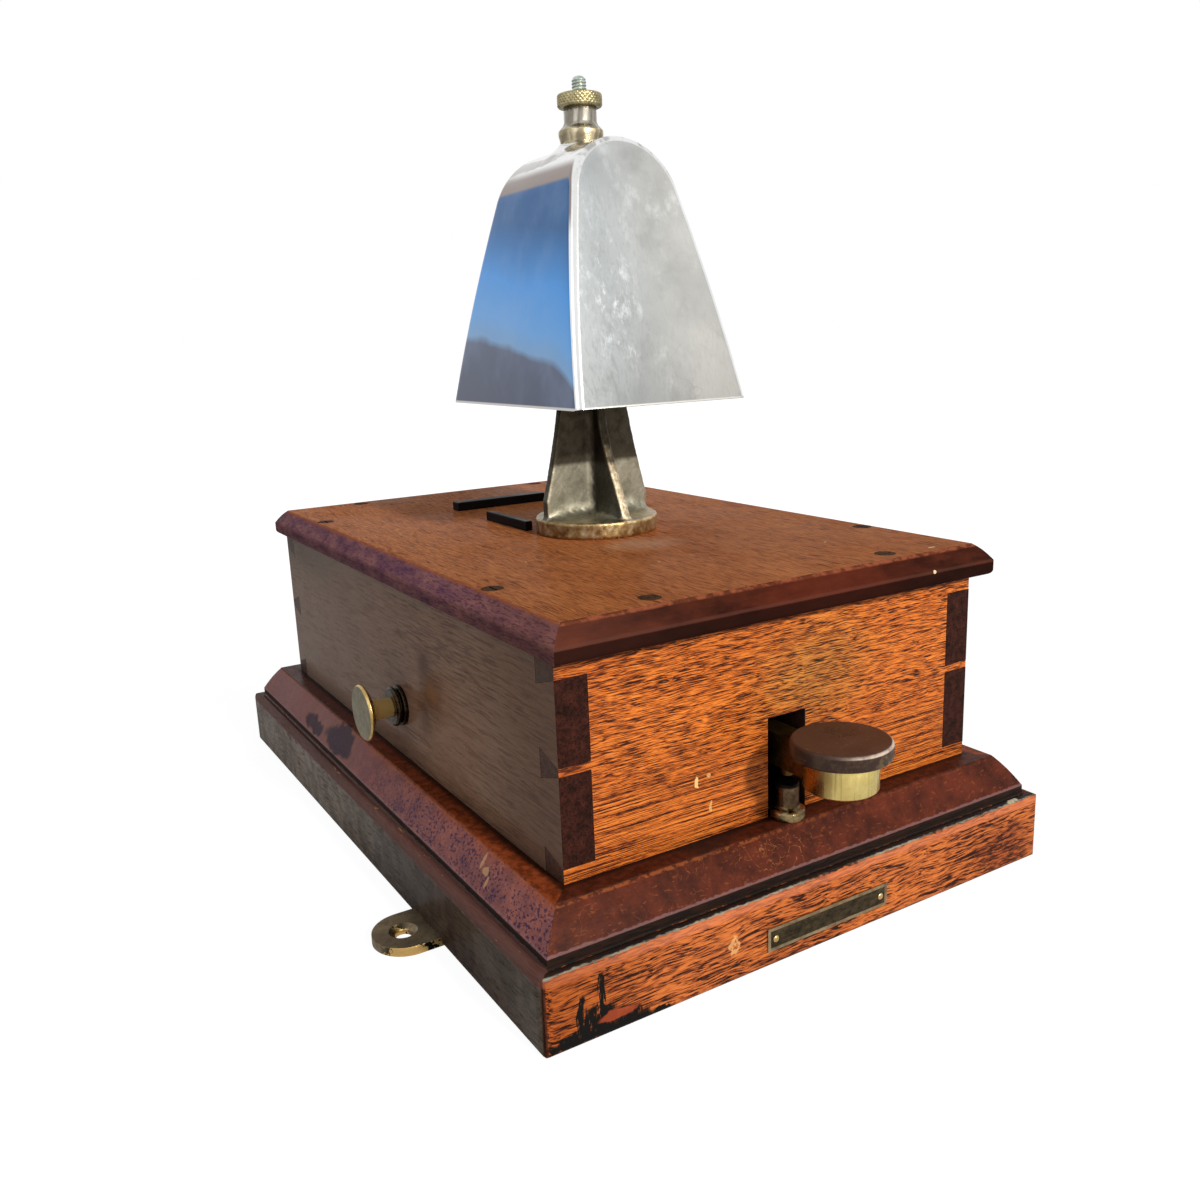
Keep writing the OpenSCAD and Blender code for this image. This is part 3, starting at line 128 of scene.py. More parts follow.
class Mat(Graph):
    """A material with one Principled shader, and the small steps that its colours are made of."""

    def __init__(self, name):
        self.m = bpy.data.materials.new(name)
        super().__init__(self.m)
        self.b = self.tree.nodes.new("ShaderNodeBsdfPrincipled")
        self.node("ShaderNodeOutputMaterial", self.b.outputs[0])
        place = self.node("ShaderNodeTexCoord")
        self.obj = place["Object"]
        self.nrm = place["Normal"]
        self.x, self.y, self.z = self.xyz(self.obj)
        self.nx, self.ny, self.nz = self.xyz(self.nrm)

    def set(self, **sockets):
        for k, v in sockets.items():
            self.put(self.b.inputs[k.replace("_", " ")], v)

    def scaled(self, vec, scale, loc=(0, 0, 0), rot=(0, 0, 0)):
        return self.node("ShaderNodeMapping", vec, loc, rot, scale)[0]

    def vector(self, op, a, b):
        return self.node("ShaderNodeVectorMath", a, b, operation=op)[0]

    def noise(self, vec, scale=1.0, detail=3.0, rough=0.5, colour=False):
        named = {"Vector": vec, "Scale": scale, "Detail": detail, "Roughness": rough}
        return self.node("ShaderNodeTexNoise", named)["Color" if colour else "Fac"]

    def grain(self, scale, detail, rough=0.5, rot=(0, 0, 0)):
        """Noise over the object. scale is one number, or one for each axis of a turned frame."""
        if isinstance(scale, tuple):
            return self.noise(self.scaled(self.obj, scale, rot=rot), 1.0, detail, rough)
        return self.noise(self.obj, scale, detail, rough)

    def specks(self, scale, detail, rough, lo, hi, a=0.0, b=1.0):
        """Spots of noise, a where it is below lo and b where it is above hi."""
        return self.step(self.grain(scale, detail, rough), lo, hi, a, b)

    def cell_edges(self, vec):
        """Distance to the nearest border between random cells."""
        named = {"Vector": vec, "Scale": 1.0}
        return self.node("ShaderNodeTexVoronoi", named, feature="DISTANCE_TO_EDGE")["Distance"]

    def step(self, v, lo, hi, a=0.0, b=1.0):
        """a below lo and b above hi, with a smooth change between them."""
        return self.node("ShaderNodeMapRange", v, lo, hi, a, b, interpolation_type="SMOOTHSTEP")[0]

    def fall(self, v, lo, hi):
        return self.step(v, lo, hi, 1, 0)

    def band(self, v, a, b, c, d):
        """1 from b to c, with soft ends from a and to d."""
        return self.mul(self.step(v, a, b), self.fall(v, c, d))

    def chain(self, op, first, *rest):
        for other in rest:
            first = self.node("ShaderNodeMath", first, other, operation=op)[0]
        return first

    def mul(self, *values):
        return self.chain("MULTIPLY", *values)

    def add(self, *values):
        return self.chain("ADD", *values)

    def most(self, *values):
        return self.chain("MAXIMUM", *values)

    def inv(self, a):
        return self.chain("SUBTRACT", 1.0, a)

    def size(self, a):
        return self.node("ShaderNodeMath", a, operation="ABSOLUTE")[0]

    def blend(self, fac, a, b):
        """A number mixed from two."""
        return self.node("ShaderNodeMix", {0: fac, 2: a, 3: b}, data_type="FLOAT")[0]

    def mix(self, fac, a, b, blend="MIX"):
        """A colour mixed from two."""
        return self.node("ShaderNodeMix", {0: fac, 6: a, 7: b}, data_type="RGBA", blend_type=blend)[2]

    def paint(self, col, mask, srgb, amount=None):
        """col under a coat of one sRGB colour of 0 to 255, where the mask is."""
        return self.mix(mask if amount is None else self.mul(mask, amount), col, rgb(*srgb))

    def shade(self, col, mask, tone):
        """col multiplied by tone where the mask is."""
        return self.mix(mask, col, self.mix(1.0, col, tone, "MULTIPLY"))

    def ramp(self, v, stops):
        ramp = self.node("ShaderNodeValToRGB", v)[0]
        scale = ramp.node.color_ramp
        while len(scale.elements) < len(stops):
            scale.elements.new(0.5)
        for element, (place, colour) in zip(scale.elements, stops):
            element.position = place
            element.color = (*colour, 1.0)
        return ramp

    def xyz(self, vec):
        return self.node("ShaderNodeSeparateXYZ", vec)

    def warp(self, vec, scale, amount, stretch=(1, 1, 1)):
        """vec pushed about by noise, up to half of amount each way."""
        c = self.noise(self.scaled(vec, stretch), scale, 2, colour=True)
        push = self.vector("SUBTRACT", c, (0.5, 0.5, 0.5))
        return self.vector("ADD", vec, self.vector("MULTIPLY", push, (amount, amount, amount)))

    def near(self, vec, point, radius, soft=0.4, squash=(1, 1, 1)):
        """1 within radius of a point in mm, 0 outside, over a soft edge. squash scales the axes."""
        away = self.vector("SUBTRACT", vec, tuple(p * mm for p in point))
        away = self.node("ShaderNodeVectorMath", self.vector("MULTIPLY", away, squash), operation="LENGTH")
        return self.fall(away["Value"], radius * mm * (1 - soft), radius * mm)

    def patch(self, scale, amount, point, radius, soft, squash=(1, 1, 1)):
        """near() with an outline torn by a warp of this scale and amount."""
        return self.near(self.warp(self.obj, scale, amount), point, radius, soft, squash)

    def bump(self, height, strength, distance):
        named = {"Strength": strength, "Distance": distance, "Height": height}
        self.set(Normal=self.node("ShaderNodeBump", named)[0])


# Wood
def wood(name, grain, pale, light, dark, pore, end_a, end_b, seed=0.0, rough=0.4, spec=0.3,
         length=11.0, width=1.7, density=0.0, pores=0.6, sway=0.0045, vary=None, marks=None, long_below=None,
         bump=0.3, patchy=0.022):
    """Old polished mahogany: wavy dark streaks along the grain, short pores, end grain across it."""
    g = Mat(name)
    axis = "xyz".index(grain)
    place = g.scaled(g.obj, (1, 1, 1), (seed * 0.37, seed * 0.21, seed * 0.13))

    def along(vec, long_mm, wide_mm, at=(0, 0, 0)):
        k = [1000 / wide_mm] * 3
        k[axis] = 1000 / long_mm
        return g.scaled(vec, tuple(k), at)

    bend = [1000 / 9.0] * 3
    bend[axis] = 1000 / 24.0
    wavy = g.warp(place, 1.0, sway, tuple(bend))
    streak = g.noise(along(wavy, length, width), 1.0, 3, 0.55)
    fine = g.noise(along(wavy, length * 0.5, width * 0.6, (3.1, 1.7, 9.2)), 1.0, 2, 0.5)
    dark_share = g.add(g.mul(streak, 0.62), g.mul(fine, 0.38))
    if long_below:
        straight = g.warp(place, 1.0, sway * 0.35, tuple(b * 0.4 for b in bend))
        lines = g.noise(along(straight, length * 5, width * 0.72, (7, 3, 1)), 1.0, 2, 0.5)
        lines = g.add(g.mul(lines, 0.66), g.mul(fine, 0.34))
        dark_share = g.blend(g.step(g.z, long_below[0] * mm, long_below[1] * mm), lines, dark_share)
    cloud = g.noise(along(place, 34, 15, (5, 1, 2)), 1.0, 3, 0.55)
    dark_share = g.add(dark_share, g.step(cloud, 0.3, 0.7, density - patchy, density + patchy))
    if vary:
        dark_share = g.add(dark_share, vary(g))
    colour = g.ramp(dark_share, [(0.36, pale), (0.47, light), (0.535, dark), (0.575, pore)])
    tint = g.noise(along(place, 60, 26, (1, 8, 3)), 1.0, 3, 0.5)
    colour = g.shade(colour, g.step(tint, 0.35, 0.65, 0, 0.35), (0.80, 0.70, 0.66))
    short = g.noise(along(wavy, 4.0, 0.42, (9, 4, 6)), 1.0, 2, 0.5)
    dash = g.step(short, 0.58, 0.66, 0, pores)
    colour = g.mix(dash, colour, pore)
    fleck = g.most(g.step(dark_share, 0.53, 0.60), dash)
    # end grain where the surface faces along the fibres
    is_end = g.step(g.size((g.nx, g.ny, g.nz)[axis]), 0.45, 0.6)
    end_noise = g.noise(place, 380, 4, 0.65)
    end_spots = g.step(g.noise(place, 1500, 2, 0.6), 0.5, 0.66, 0, 0.7)
    end_col = g.ramp(end_noise, [(0.32, end_a), (0.7, end_b)])
    end_col = g.mix(end_spots, end_col, tuple(c * 0.4 for c in end_a))
    colour = g.mix(is_end, colour, end_col)
    fleck = g.mul(fleck, g.inv(is_end))
    masks = []
    if marks:
        colour, masks = marks(g, colour)
    # smudges and fine scratches in the polish
    smear = g.noise(g.scaled(place, (14, 14, 14)), 1.0, 5, 0.65)
    scratch = g.noise(g.scaled(place, (55, 900, 900), (1, 2, 3), (0.4, 0.7, 0.9)), 1.0, 2, 0.5)
    roughness = g.step(smear, 0.35, 0.7, rough - 0.08, rough + 0.12)
    roughness = g.add(roughness, g.step(scratch, 0.62, 0.72, 0, 0.12), g.mul(fleck, 0.15))
    for mask in masks:
        roughness = g.add(roughness, g.mul(mask, 0.2))
    g.set(Base_Color=colour, Roughness=roughness, Specular_IOR_Level=spec)
    height = g.add(g.mul(fleck, -0.7), g.mul(g.noise(place, 70, 4, 0.6), 0.45))
    g.bump(height, bump, 0.00022)
    return g


def metal(name, a, b, patina, patina_amount=0.5, rough=(0.22, 0.42), scale=60, scratch=0.3,
          cast=0.0, lathe=None, seed=0.0, extra=None):
    """Metal in two tones with a patina, hair scratches, and a cast or a turned skin."""
    g = Mat(name)
    g.set(Metallic=1.0)
    place = g.scaled(g.obj, (1, 1, 1), (seed, seed * 0.7, seed * 0.3))
    base = g.ramp(g.noise(place, scale, 4, 0.6), [(0.35, a), (0.68, b)])
    cloud = g.noise(g.scaled(place, (1, 1, 1), (4, 7, 1)), scale * 1.9, 6, 0.7)
    col = g.mix(g.step(cloud, 0.44, 0.68, 0.0, patina_amount), base, patina)
    spots = g.step(g.noise(place, scale * 14, 2, 0.5), 0.62, 0.72, 0, 0.6 * patina_amount)
    col = g.mix(spots, col, tuple(c * 0.4 for c in patina))
    fine = g.noise(g.scaled(place, (300, 2600, 2600), (1, 1, 1), (0.5, 0.3, 0.8)), 1.0, 2, 0.5)
    fine2 = g.noise(g.scaled(place, (2600, 240, 2600), (2, 1, 1), (0.2, 0.9, 0.4)), 1.0, 2, 0.5)
    lines = g.most(g.step(fine, 0.63, 0.72), g.step(fine2, 0.64, 0.73))
    roughness = g.add(g.step(cloud, 0.35, 0.7, *rough), g.mul(lines, 0.12 * scratch))
    if extra:
        col, roughness = extra(g, col, roughness)
    g.set(Base_Color=col, Roughness=roughness)
    height = g.mul(lines, -0.15 * scratch)
    if cast:
        rough_cast = g.add(g.noise(place, 520, 4, 0.65), g.mul(g.noise(place, 1500, 3, 0.6), 0.5))
        height = g.add(height, g.mul(rough_cast, cast))
    if lathe:
        height = g.add(height, g.mul(g.noise(g.scaled(place, lathe), 1.0, 2, 0.5), 0.25))
    g.bump(height, 0.5, 0.0002)
    return g


def plastic(name, a, b, rough=(0.2, 0.4), scale=40, worn=None, spec=0.3):
    """Ebonite, lacquer or fibre in two tones, with a little dust."""
    g = Mat(name)
    place = g.obj
    cloud = g.noise(place, scale, 5, 0.65)
    col = g.ramp(cloud, [(0.35, a), (0.7, b)])
    dust = g.step(g.noise(place, 900, 2, 0.5), 0.66, 0.74, 0, 0.35)
    col = g.mix(dust, col, tuple(min(1.0, c * 3 + 0.05) for c in b))
    if worn:
        col = worn(g, col)
    g.set(Base_Color=col, Roughness=g.step(cloud, 0.3, 0.7, *rough), Specular_IOR_Level=spec)
    g.bump(g.noise(place, 700, 3, 0.6), 0.3, 0.0001)
    return g


# Wear marks and painted light and shade, with places in mm and levels in metres
FRONT_BACK = ("front", "back")
SIDE_X = -97.5            # the left board's face
FRONT_Y = -152.5          # the front board's face
FOOT_Y = -175.7           # the plinth's front face
LID_Z = 136.3             # the lid's top
BEVEL = (0.0312, 0.0316)  # where the plinth's bevel starts


def front_vary(g):
    """Fewer dark streaks in the golden middle of the front board, under its painted sheen, more at its left
    end.
    """
    gold = g.patch(30, 0.02, (22, FRONT_Y, 98), 40, 0.9, (0.75, 1, 1.15))
    left = g.step(g.x, -0.075, 0.02, 0.006, 0.0)
    return g.add(g.mul(gold, -0.006), left)


def front_marks(g, col):
    """The pale chips, the golden middle as a painted sheen, and a painted shadow under the lid, on the front
    board.
    """
    wide_chip = g.patch(330, 0.004, (-41.8, FRONT_Y, 67.0), 2.1, 0.2, (1.6, 1, 0.8))
    upper_chip = g.patch(300, 0.002, (-36.4, FRONT_Y, 68.9), 1.0, 0.2)
    lower_chip = g.patch(300, 0.002, (-35.7, FRONT_Y, 56.5), 1.2, 0.2, (1.8, 1, 0.5))
    # painted sheen: a golden middle that keeps the dark streaks
    gold = g.patch(60, 0.01, (14, FRONT_Y, 97), 34, 0.95, (0.8, 1, 1.1))
    col = g.shade(col, g.mul(gold, 0.85), (0.74, 1.10, 1.45))
    # painted shadow of the lid's overhang along the top of the board
    under = g.step(g.z, 0.1195, 0.1225)
    col = g.paint(col, under, (60, 30, 16), 0.55)
    red = g.mul(g.step(g.x, -0.095, -0.06, 0.12, 0.0), g.fall(g.ny, -0.7, -0.5))
    col = g.paint(col, red, (150, 66, 30))
    chips = g.most(wide_chip, g.mul(upper_chip, 0.6), g.mul(lower_chip, 0.6))
    return g.paint(col, chips, (232, 190, 120)), [chips]


def side_marks(g, col):
    """A thin light line under the lid, lighter behind, a painted sheen in the middle, darker towards the
    front, a painted shadow under the lid's rear, and a painted reflection of the knob round the plunger.
    """
    y, z = g.y, g.z
    bare = col
    line = g.band(z, 0.1192, 0.1197, 0.1203, 0.1208)
    col = g.paint(col, g.mul(line, g.specks(90, 2, 0.5, 0.35, 0.6, 0.15, 0.6)), (120, 108, 98))
    rear = g.step(y, -0.06, 0.12)
    col = g.paint(col, rear, (138, 117, 103), 0.6)
    # painted sheen of the polish: a soft lighter patch in the middle of the board
    glow = g.patch(60, 0.01, (SIDE_X, -60, 66), 60, 0.9, (1, 0.9, 1.5))
    col = g.paint(col, glow, (150, 110, 84), 0.40)
    # darker towards the front edge, and a painted shadow of the lid under its rear
    col = g.paint(col, g.step(y, -0.153, -0.080, 0.60, 0.0), (96, 72, 58))
    col = g.paint(col, g.mul(g.step(z, 0.098, 0.118), g.step(y, 0.03, 0.12, 0.10, 0.55)), (84, 70, 60))
    # painted reflection of the knob in the polish: a darker ring and a yellowish spot round the plunger
    w = g.warp(g.obj, 110, 0.006)
    knob_reflection_ring = g.most(g.near(w, (SIDE_X, -40, 93), 14, 0.95, (1, 1.2, 1)),
                  g.near(w, (SIDE_X, -37, 71), 14, 0.95, (1, 1.1, 1)), g.near(w, (SIDE_X, -44, 82), 17, 0.95))
    col = g.paint(col, knob_reflection_ring, (64, 38, 26), 0.6)
    knob_reflection_spot = g.near(w, (SIDE_X, -46, 83.5), 8.5, 0.95, (1, 0.8, 1.1))
    col = g.paint(col, knob_reflection_spot, (146, 100, 62), 0.5)
    # none of this on the end grain
    return g.mix(g.step(g.size(g.nx), 0.6, 0.85), bare, col), []


PLINTH = {
    "front": dict(bevel=(rgb(54, 23, 15), rgb(97, 43, 27)), flat=rgb(84, 38, 23), arris=rgb(206, 120, 84),
                  fleck=rgb(130, 68, 36), worn=(0.34, 0.54)),
    # the side bevels' purple is the cool cast of sky light, painted on the red mahogany
    "left": dict(bevel=(rgb(116, 74, 78), rgb(166, 102, 90)), flat=rgb(146, 68, 34), arris=rgb(92, 52, 46),
                 fleck=rgb(170, 112, 96), worn=(0.62, 0.68)),
}
PLINTH["back"] = PLINTH["front"]
PLINTH["right"] = PLINTH["left"]


def plinth_marks(side):
    """Zones of the moulding from the foot up: face, worn arris with a painted highlight, black quirk, bevel,
    flat strip with painted shade.
    """
    tone = PLINTH[side]
    lengthwise = side in FRONT_BACK

    def zones(g, col):
        z = g.z
        rough = g.xyz(g.warp(g.obj, 420, 0.0014))
        rough_z = rough[2]
        masks = []
        # bevel, mottled red-brown with short flecks
        mottle = g.grain(95, 5, 0.68)
        bevel_col = g.ramp(mottle, [(0.34, tone["bevel"][0]), (0.66, tone["bevel"][1])])
        short = g.specks((400, 900, 900) if lengthwise else (900, 400, 900), 2, 0.5, 0.60, 0.70, 0, 0.5)
        bevel_col = g.mix(short, bevel_col, tone["fleck"])
        if not lengthwise:
            bevel_col = purple_bevel(g, bevel_col)
        col = g.mix(g.step(z, *BEVEL), col, bevel_col)
        # the flat strip at the case's foot, with painted shade, and its arris, worn and with a painted
        # highlight
        x, y = (g.size(v) for v in g.xyz(g.obj)[:2])
        flat_col = g.mix(g.specks(330, 5, 0.7, 0.38, 0.60, 0, 0.8), tone["flat"],
                         tuple(c * 0.32 for c in tone["flat"]))
        if lengthwise:
            crack = g.fall(y, 0.1533, 0.1556)
        else:
            # painted shade on the rear of the side strips
            flat_col = g.paint(flat_col, g.step(g.y, -0.03, 0.07, 0, 0.8), (80, 46, 42))
            crack = g.fall(x, 0.0985, 0.1012)
        # painted shade in the corner against the case
        flat_col = g.paint(flat_col, crack, (24, 13, 10), 0.85)
        col = g.mix(g.step(z, 0.0436, 0.0440), col, flat_col)
        # the bevel's top arris, worn and with a painted highlight
        worn = g.mul(g.band(z, 0.0430, 0.0434, 0.0440, 0.0443), g.specks(420, 3, 0.6, 0.44, 0.56))
        left_half = g.step(g.x, -0.045, 0.035, 0.45, 0.10)
        col = g.paint(col, g.mul(worn, left_half), (170, 92, 42))
        # pale lower edge of the bevel
        edge = g.band(rough_z, *BEVEL, 0.0322, 0.0327)
        col = g.paint(col, edge, (150, 116, 116), 0.40)
        # black lacquer of the quirk and the ledge
        low = 0.0276 if lengthwise else 0.0288
        band = g.mul(g.step(rough_z, low, low + 0.0005), g.fall(z, 0.0314, 0.0317))
        col = g.paint(col, band, (24, 22, 21) if lengthwise else (44, 34, 31), 0.97)
        # pale rim of the ledge: rubbed paint with a painted highlight along its outer edge
        wavy = g.size(rough[1 if lengthwise else 0])
        rim = 0.1742 if lengthwise else 0.1192
        white = g.mul(g.step(rough_z, 0.0276, 0.0280), g.step(wavy, rim - 0.0006, rim),
                      g.step(g.grain((34, 34, 300), 5, 0.7), *tone["worn"]))
        col = g.paint(col, white, (176, 172, 156), 0.72)
        # rounded arris under the ledge, worn, with a painted highlight on the front and back
        top = low - 0.0002
        arris = g.band(rough_z, 0.0248, 0.0258, top, top + 0.0005)
        col = g.mix(g.mul(arris, 0.55 if lengthwise else 0.85), col, tone["arris"])
        # dirt at the foot
        foot = g.mul(g.fall(rough_z, 0.0002, 0.0030), g.specks(60, 5, 0.7, 0.46, 0.58))
        col = g.paint(col, foot, (26, 20, 17), 0.85)
        if side == "front":
            col, extra = front_rail_wear(g, col)
            masks += extra
        if not lengthwise:
            col = side_face_painted_reflection(g, col)
        if side == "left":
            col = left_rail_wear(g, col)
        corner = g.patch(300, 0.006, (-110.3, -170.3, 38.6), 2.3, 0.3, (1.8, 1, 0.8))
        col = g.paint(col, corner, (196, 148, 104), 0.85)
        return col, masks
    return zones


def side_face_painted_reflection(g, col):
    """Painted reflection in the polish of the low side face: grey behind, nearly black and browner in front,
    with ripples.
    """
    on_face = g.fall(g.z, 0.0246, 0.0262)
    tone = g.ramp(g.step(g.y, -0.176, 0.145), [
        (0.0, (0.40, 0.38, 0.36)), (0.02, (0.34, 0.29, 0.26)), (0.10, (0.27, 0.21, 0.18)),
        (0.33, (0.36, 0.33, 0.32)), (0.62, (0.74, 0.73, 0.72)), (0.88, (1, 1, 1))])
    reflected_ripple = g.noise(g.scaled(g.warp(g.obj, 30, 0.012), (40, 120, 60), (0, 0, 0), (0.5, 0, 0)), 1.0, 3, 0.55)
    tone = g.mix(g.step(reflected_ripple, 0.44, 0.60, 0.0, 0.45), tone, (0.34, 0.33, 0.32), "MULTIPLY")
    return g.shade(col, on_face, tone)


def purple_bevel(g, col):
    """Dark blue specks, about 1 mm each, that are dense towards the front and thin out behind."""
    y = g.y
    dots = g.grain((900, 620, 900), 4, 0.65)
    groups = g.specks(55, 4, 0.6, 0.36, 0.60, -0.026, 0.034)
    specks = g.step(g.add(dots, groups), 0.545, 0.585)
    front = g.step(y, -0.06, 0.04, 0.9, 0.18)
    col = g.paint(col, g.mul(specks, front), (58, 42, 72))
    behind = g.step(y, -0.04, 0.06, 0.0, 0.6)
    col = g.paint(col, behind, (146, 102, 98))
    x = g.size(g.x)
    glow = g.step(g.add(x, g.mul(g.grain(70, 4, 0.6), 0.006)), 0.1065, 0.1125, 0.75, 0.0)
    return g.paint(col, g.mul(glow, 0.75, g.step(y, 0.0, 0.03, 1, 0.25)), (176, 88, 42))


def front_rail_wear(g, col):
    """Torn black patch at the foot, dark right end, scratches and a smear on the bevel."""
    # the left end is darker and redder
    end = g.step(g.x, -0.116, -0.066, 0.9, 0)
    end = g.mul(end, g.fall(g.z, 0.0274, 0.0280))
    col = g.shade(col, end, (0.68, 0.58, 0.44))
    w = g.warp(g.obj, 300, 0.009, (0.9, 1, 0.35))
    spots = [((-98.7, FOOT_Y, 16.5), 3.4, (1.25, 0.2, 0.40)), ((-106, FOOT_Y, 9.5), 3.0, (1.6, 0.2, 0.30)),
             ((-99, FOOT_Y, 6.5), 7.0, (0.80, 0.2, 0.85)), ((-90, FOOT_Y, 3.0), 7.0, (0.55, 0.2, 1.5)),
             ((-110, FOOT_Y, 2.5), 5.0, (0.6, 0.2, 1.6)), ((-80, FOOT_Y, 1.0), 6.0, (0.5, 0.2, 2.2))]
    blot = g.most(*[g.near(w, place, r, 0.25, squash) for place, r, squash in spots])
    torn = g.specks((620, 620, 130), 3, 0.7, 0.36, 0.46)
    solid = g.fall(g.z, 0.003, 0.009)
    blot = g.mul(blot, g.most(torn, solid))
    red = g.patch(260, 0.003, (-92, FOOT_Y, 7.2), 4.6, 0.3, (0.55, 0.2, 2.2))
    col = g.paint(col, blot, (16, 15, 14))
    col = g.paint(col, red, (150, 66, 38), 0.85)
    right = g.patch(120, 0.02, (98, FOOT_Y, 10), 15, 0.7, (0.7, 0.2, 1))
    black = g.mul(right, g.specks((160, 160, 600), 4, 0.7, 0.47, 0.56))
    col = g.paint(col, right, (110, 44, 28), 0.45)
    col = g.paint(col, black, (22, 16, 14), 0.85)
    crack = g.patch(260, 0.006, (-43.6, FOOT_Y, 14.9), 3.6, 0.35, (1.5, 0.2, 0.7))
    crack = g.mul(crack, g.specks(500, 3, 0.6, 0.44, 0.54))
    col = g.paint(col, crack, (226, 170, 110), 0.75)
    # fine pale scratches on the bevel below the stop pillar
    zone = g.patch(200, 0.008, (-18, -165, 36), 14, 0.6, (0.6, 1, 1.1))
    cells = g.cell_edges(g.scaled(g.warp(g.obj, 170, 0.007), (250, 110, 250)))
    hair = g.mul(g.fall(cells, 0.0, 0.028), g.specks(360, 2, 0.5, 0.48, 0.56))
    on_bevel = g.band(g.z, 0.0318, 0.0322, 0.043, 0.0434)
    few = g.specks(40, 3, 0.5, 0.46, 0.60, 0, 0.35)
    thin = g.mul(g.most(zone, few), hair, on_bevel)
    col = g.paint(col, thin, (166, 112, 62), 0.6)
    smear = g.patch(120, 0.014, (-40, -155, 41), 10, 0.75, (0.45, 1, 1))
    col = g.paint(col, smear, (34, 24, 22), 0.8)
    chips = g.patch(400, 0.003, (105, -174, 28.7), 2.0, 0.3, (0.4, 1, 1.8))
    col = g.paint(col, chips, (196, 186, 160), 0.85)
    return col, [blot]


def left_rail_wear(g, col):
    """The old stain near the plunger, a scratch and small chips on the arris."""
    w = g.warp(g.obj, 85, 0.016)
    lobes = ((-110.5, 80, 36.0), 8.5, (1.2, 0.42, 1.5)), ((-110.5, 46, 38.5), 9.5, (1.2, 0.46, 1.1))
    stain = g.most(*[g.near(w, place, r, 0.30, squash) for place, r, squash in lobes])
    on_bevel = g.step(g.z, *BEVEL)
    col = g.paint(col, g.mul(stain, on_bevel), (50, 38, 52), 0.88)
    rim = g.mul(g.most(*[g.near(w, place, r + 1, 0.10, squash) for place, r, squash in lobes]), g.inv(stain))
    col = g.paint(col, g.mul(rim, on_bevel), (150, 98, 66), 0.3)
    cuts = (((-110.2, -117.5, 38.6), 2.0, (1.0, 0.7, 1)), ((-107.8, -113, 40.4), 3.2, (0.7, 2.6, 1)),
            ((-112.6, -121, 36.8), 2.6, (0.8, 2.6, 1)))
    scratch = g.most(*[g.patch(260, 0.003, place, r, 0.3, squash) for place, r, squash in cuts])
    col = g.paint(col, scratch, (196, 150, 110), 0.85)
    chips = g.mul(g.specks((300, 90, 300), 3, 0.6, 0.66, 0.70), g.band(g.z, 0.0258, 0.0264, 0.0284, 0.0288))
    return g.paint(col, chips, (186, 130, 80), 0.8)


def lid_marks(g, col):
    """Faded brown top, lighter behind as a painted sheen, with redder, darker mouldings whose sides take a
    painted sky cast, small pale dents, and a painted reflection of the pillar.
    """
    dots = (((77.5, -150, LID_Z), 1.2, (0.5, 2, 1)), ((67.5, -161, 129.4), 0.9), ((54.6, -113.5, LID_Z), 0.6),
            ((-60, -64, LID_Z), 0.5), ((-20, -100, LID_Z), 0.5))
    dents = g.most(*[g.near(g.obj, place, r, 0.25, *squash) for place, r, *squash in dots])
    line = g.patch(150, 0.002, (29.9, -113.8, LID_Z), 7, 0.3, (0.8, 6, 1))
    col = g.paint(col, line, (190, 130, 76), 0.35)
    y, z = g.y, g.z
    # painted sheen: the top lighter towards the rear
    col = g.shade(col, g.step(y, -0.11, 0.03, 0, 0.55), (1.42, 1.45, 1.50))
    low = g.fall(z, 0.1354, 0.1360)
    mottle = g.grain((60, 60, 200), 5, 0.65)
    mould = g.ramp(mottle, [(0.34, rgb(40, 21, 17)), (0.64, rgb(76, 37, 26))])
    warm = g.patch(40, 0.02, (16, -160, 132), 46, 0.8, (0.8, 1, 1))
    mould = g.paint(mould, warm, (112, 48, 32), 0.35)
    mould = g.paint(mould, g.step(g.x, -0.102, -0.035, 0.26, 0), (128, 74, 60))
    side = g.step(g.size(g.nx), 0.35, 0.5)
    # the side mouldings' purple is the cool cast of sky light, painted on the red moulding
    purple = g.ramp(mottle, [(0.34, rgb(102, 66, 86)), (0.64, rgb(154, 104, 102))])
    dark_pores = g.specks((1500, 240, 1500), 3, 0.6, 0.51, 0.58, 0, 0.8)
    front_end = g.step(y, -0.16, -0.02, 1, 0.45)
    purple = g.paint(purple, g.mul(dark_pores, front_end), (50, 34, 50))
    purple = g.paint(purple, g.step(y, -0.15, -0.06, 0.45, 0), (124, 80, 66))
    mould = g.mix(side, mould, purple)
    col = g.mix(low, col, mould)
    # the arris round the top is rubbed to a lighter red
    arris = g.band(z, 0.1348, 0.1354, 0.1360, 0.1363)
    col = g.paint(col, g.mul(arris, g.specks(300, 3, 0.6, 0.4, 0.6, 0.2, 0.8)), (150, 84, 58))
    edge = g.band(z, 0.1287, 0.1291, 0.1297, 0.1302)
    col = g.paint(col, edge, (92, 60, 52), 0.35)
    under = g.step(z, 0.1284, 0.1290, 0.45, 0)
    col = g.paint(col, under, (44, 28, 26))
    col = g.paint(col, g.mul(under, g.step(g.size(g.ny), 0.5, 0.8, 0, 1.5)), (24, 12, 9))
    # painted reflection of the pillar in the polish, a pale patch in front of the gong's foot
    pale = g.patch(60, 0.012, (-3, -64, LID_Z), 19, 0.95, (0.8, 1, 1))
    col = g.paint(col, pale, (214, 180, 152), 0.34)
    return g.paint(col, dents, (226, 200, 160)), [dents]


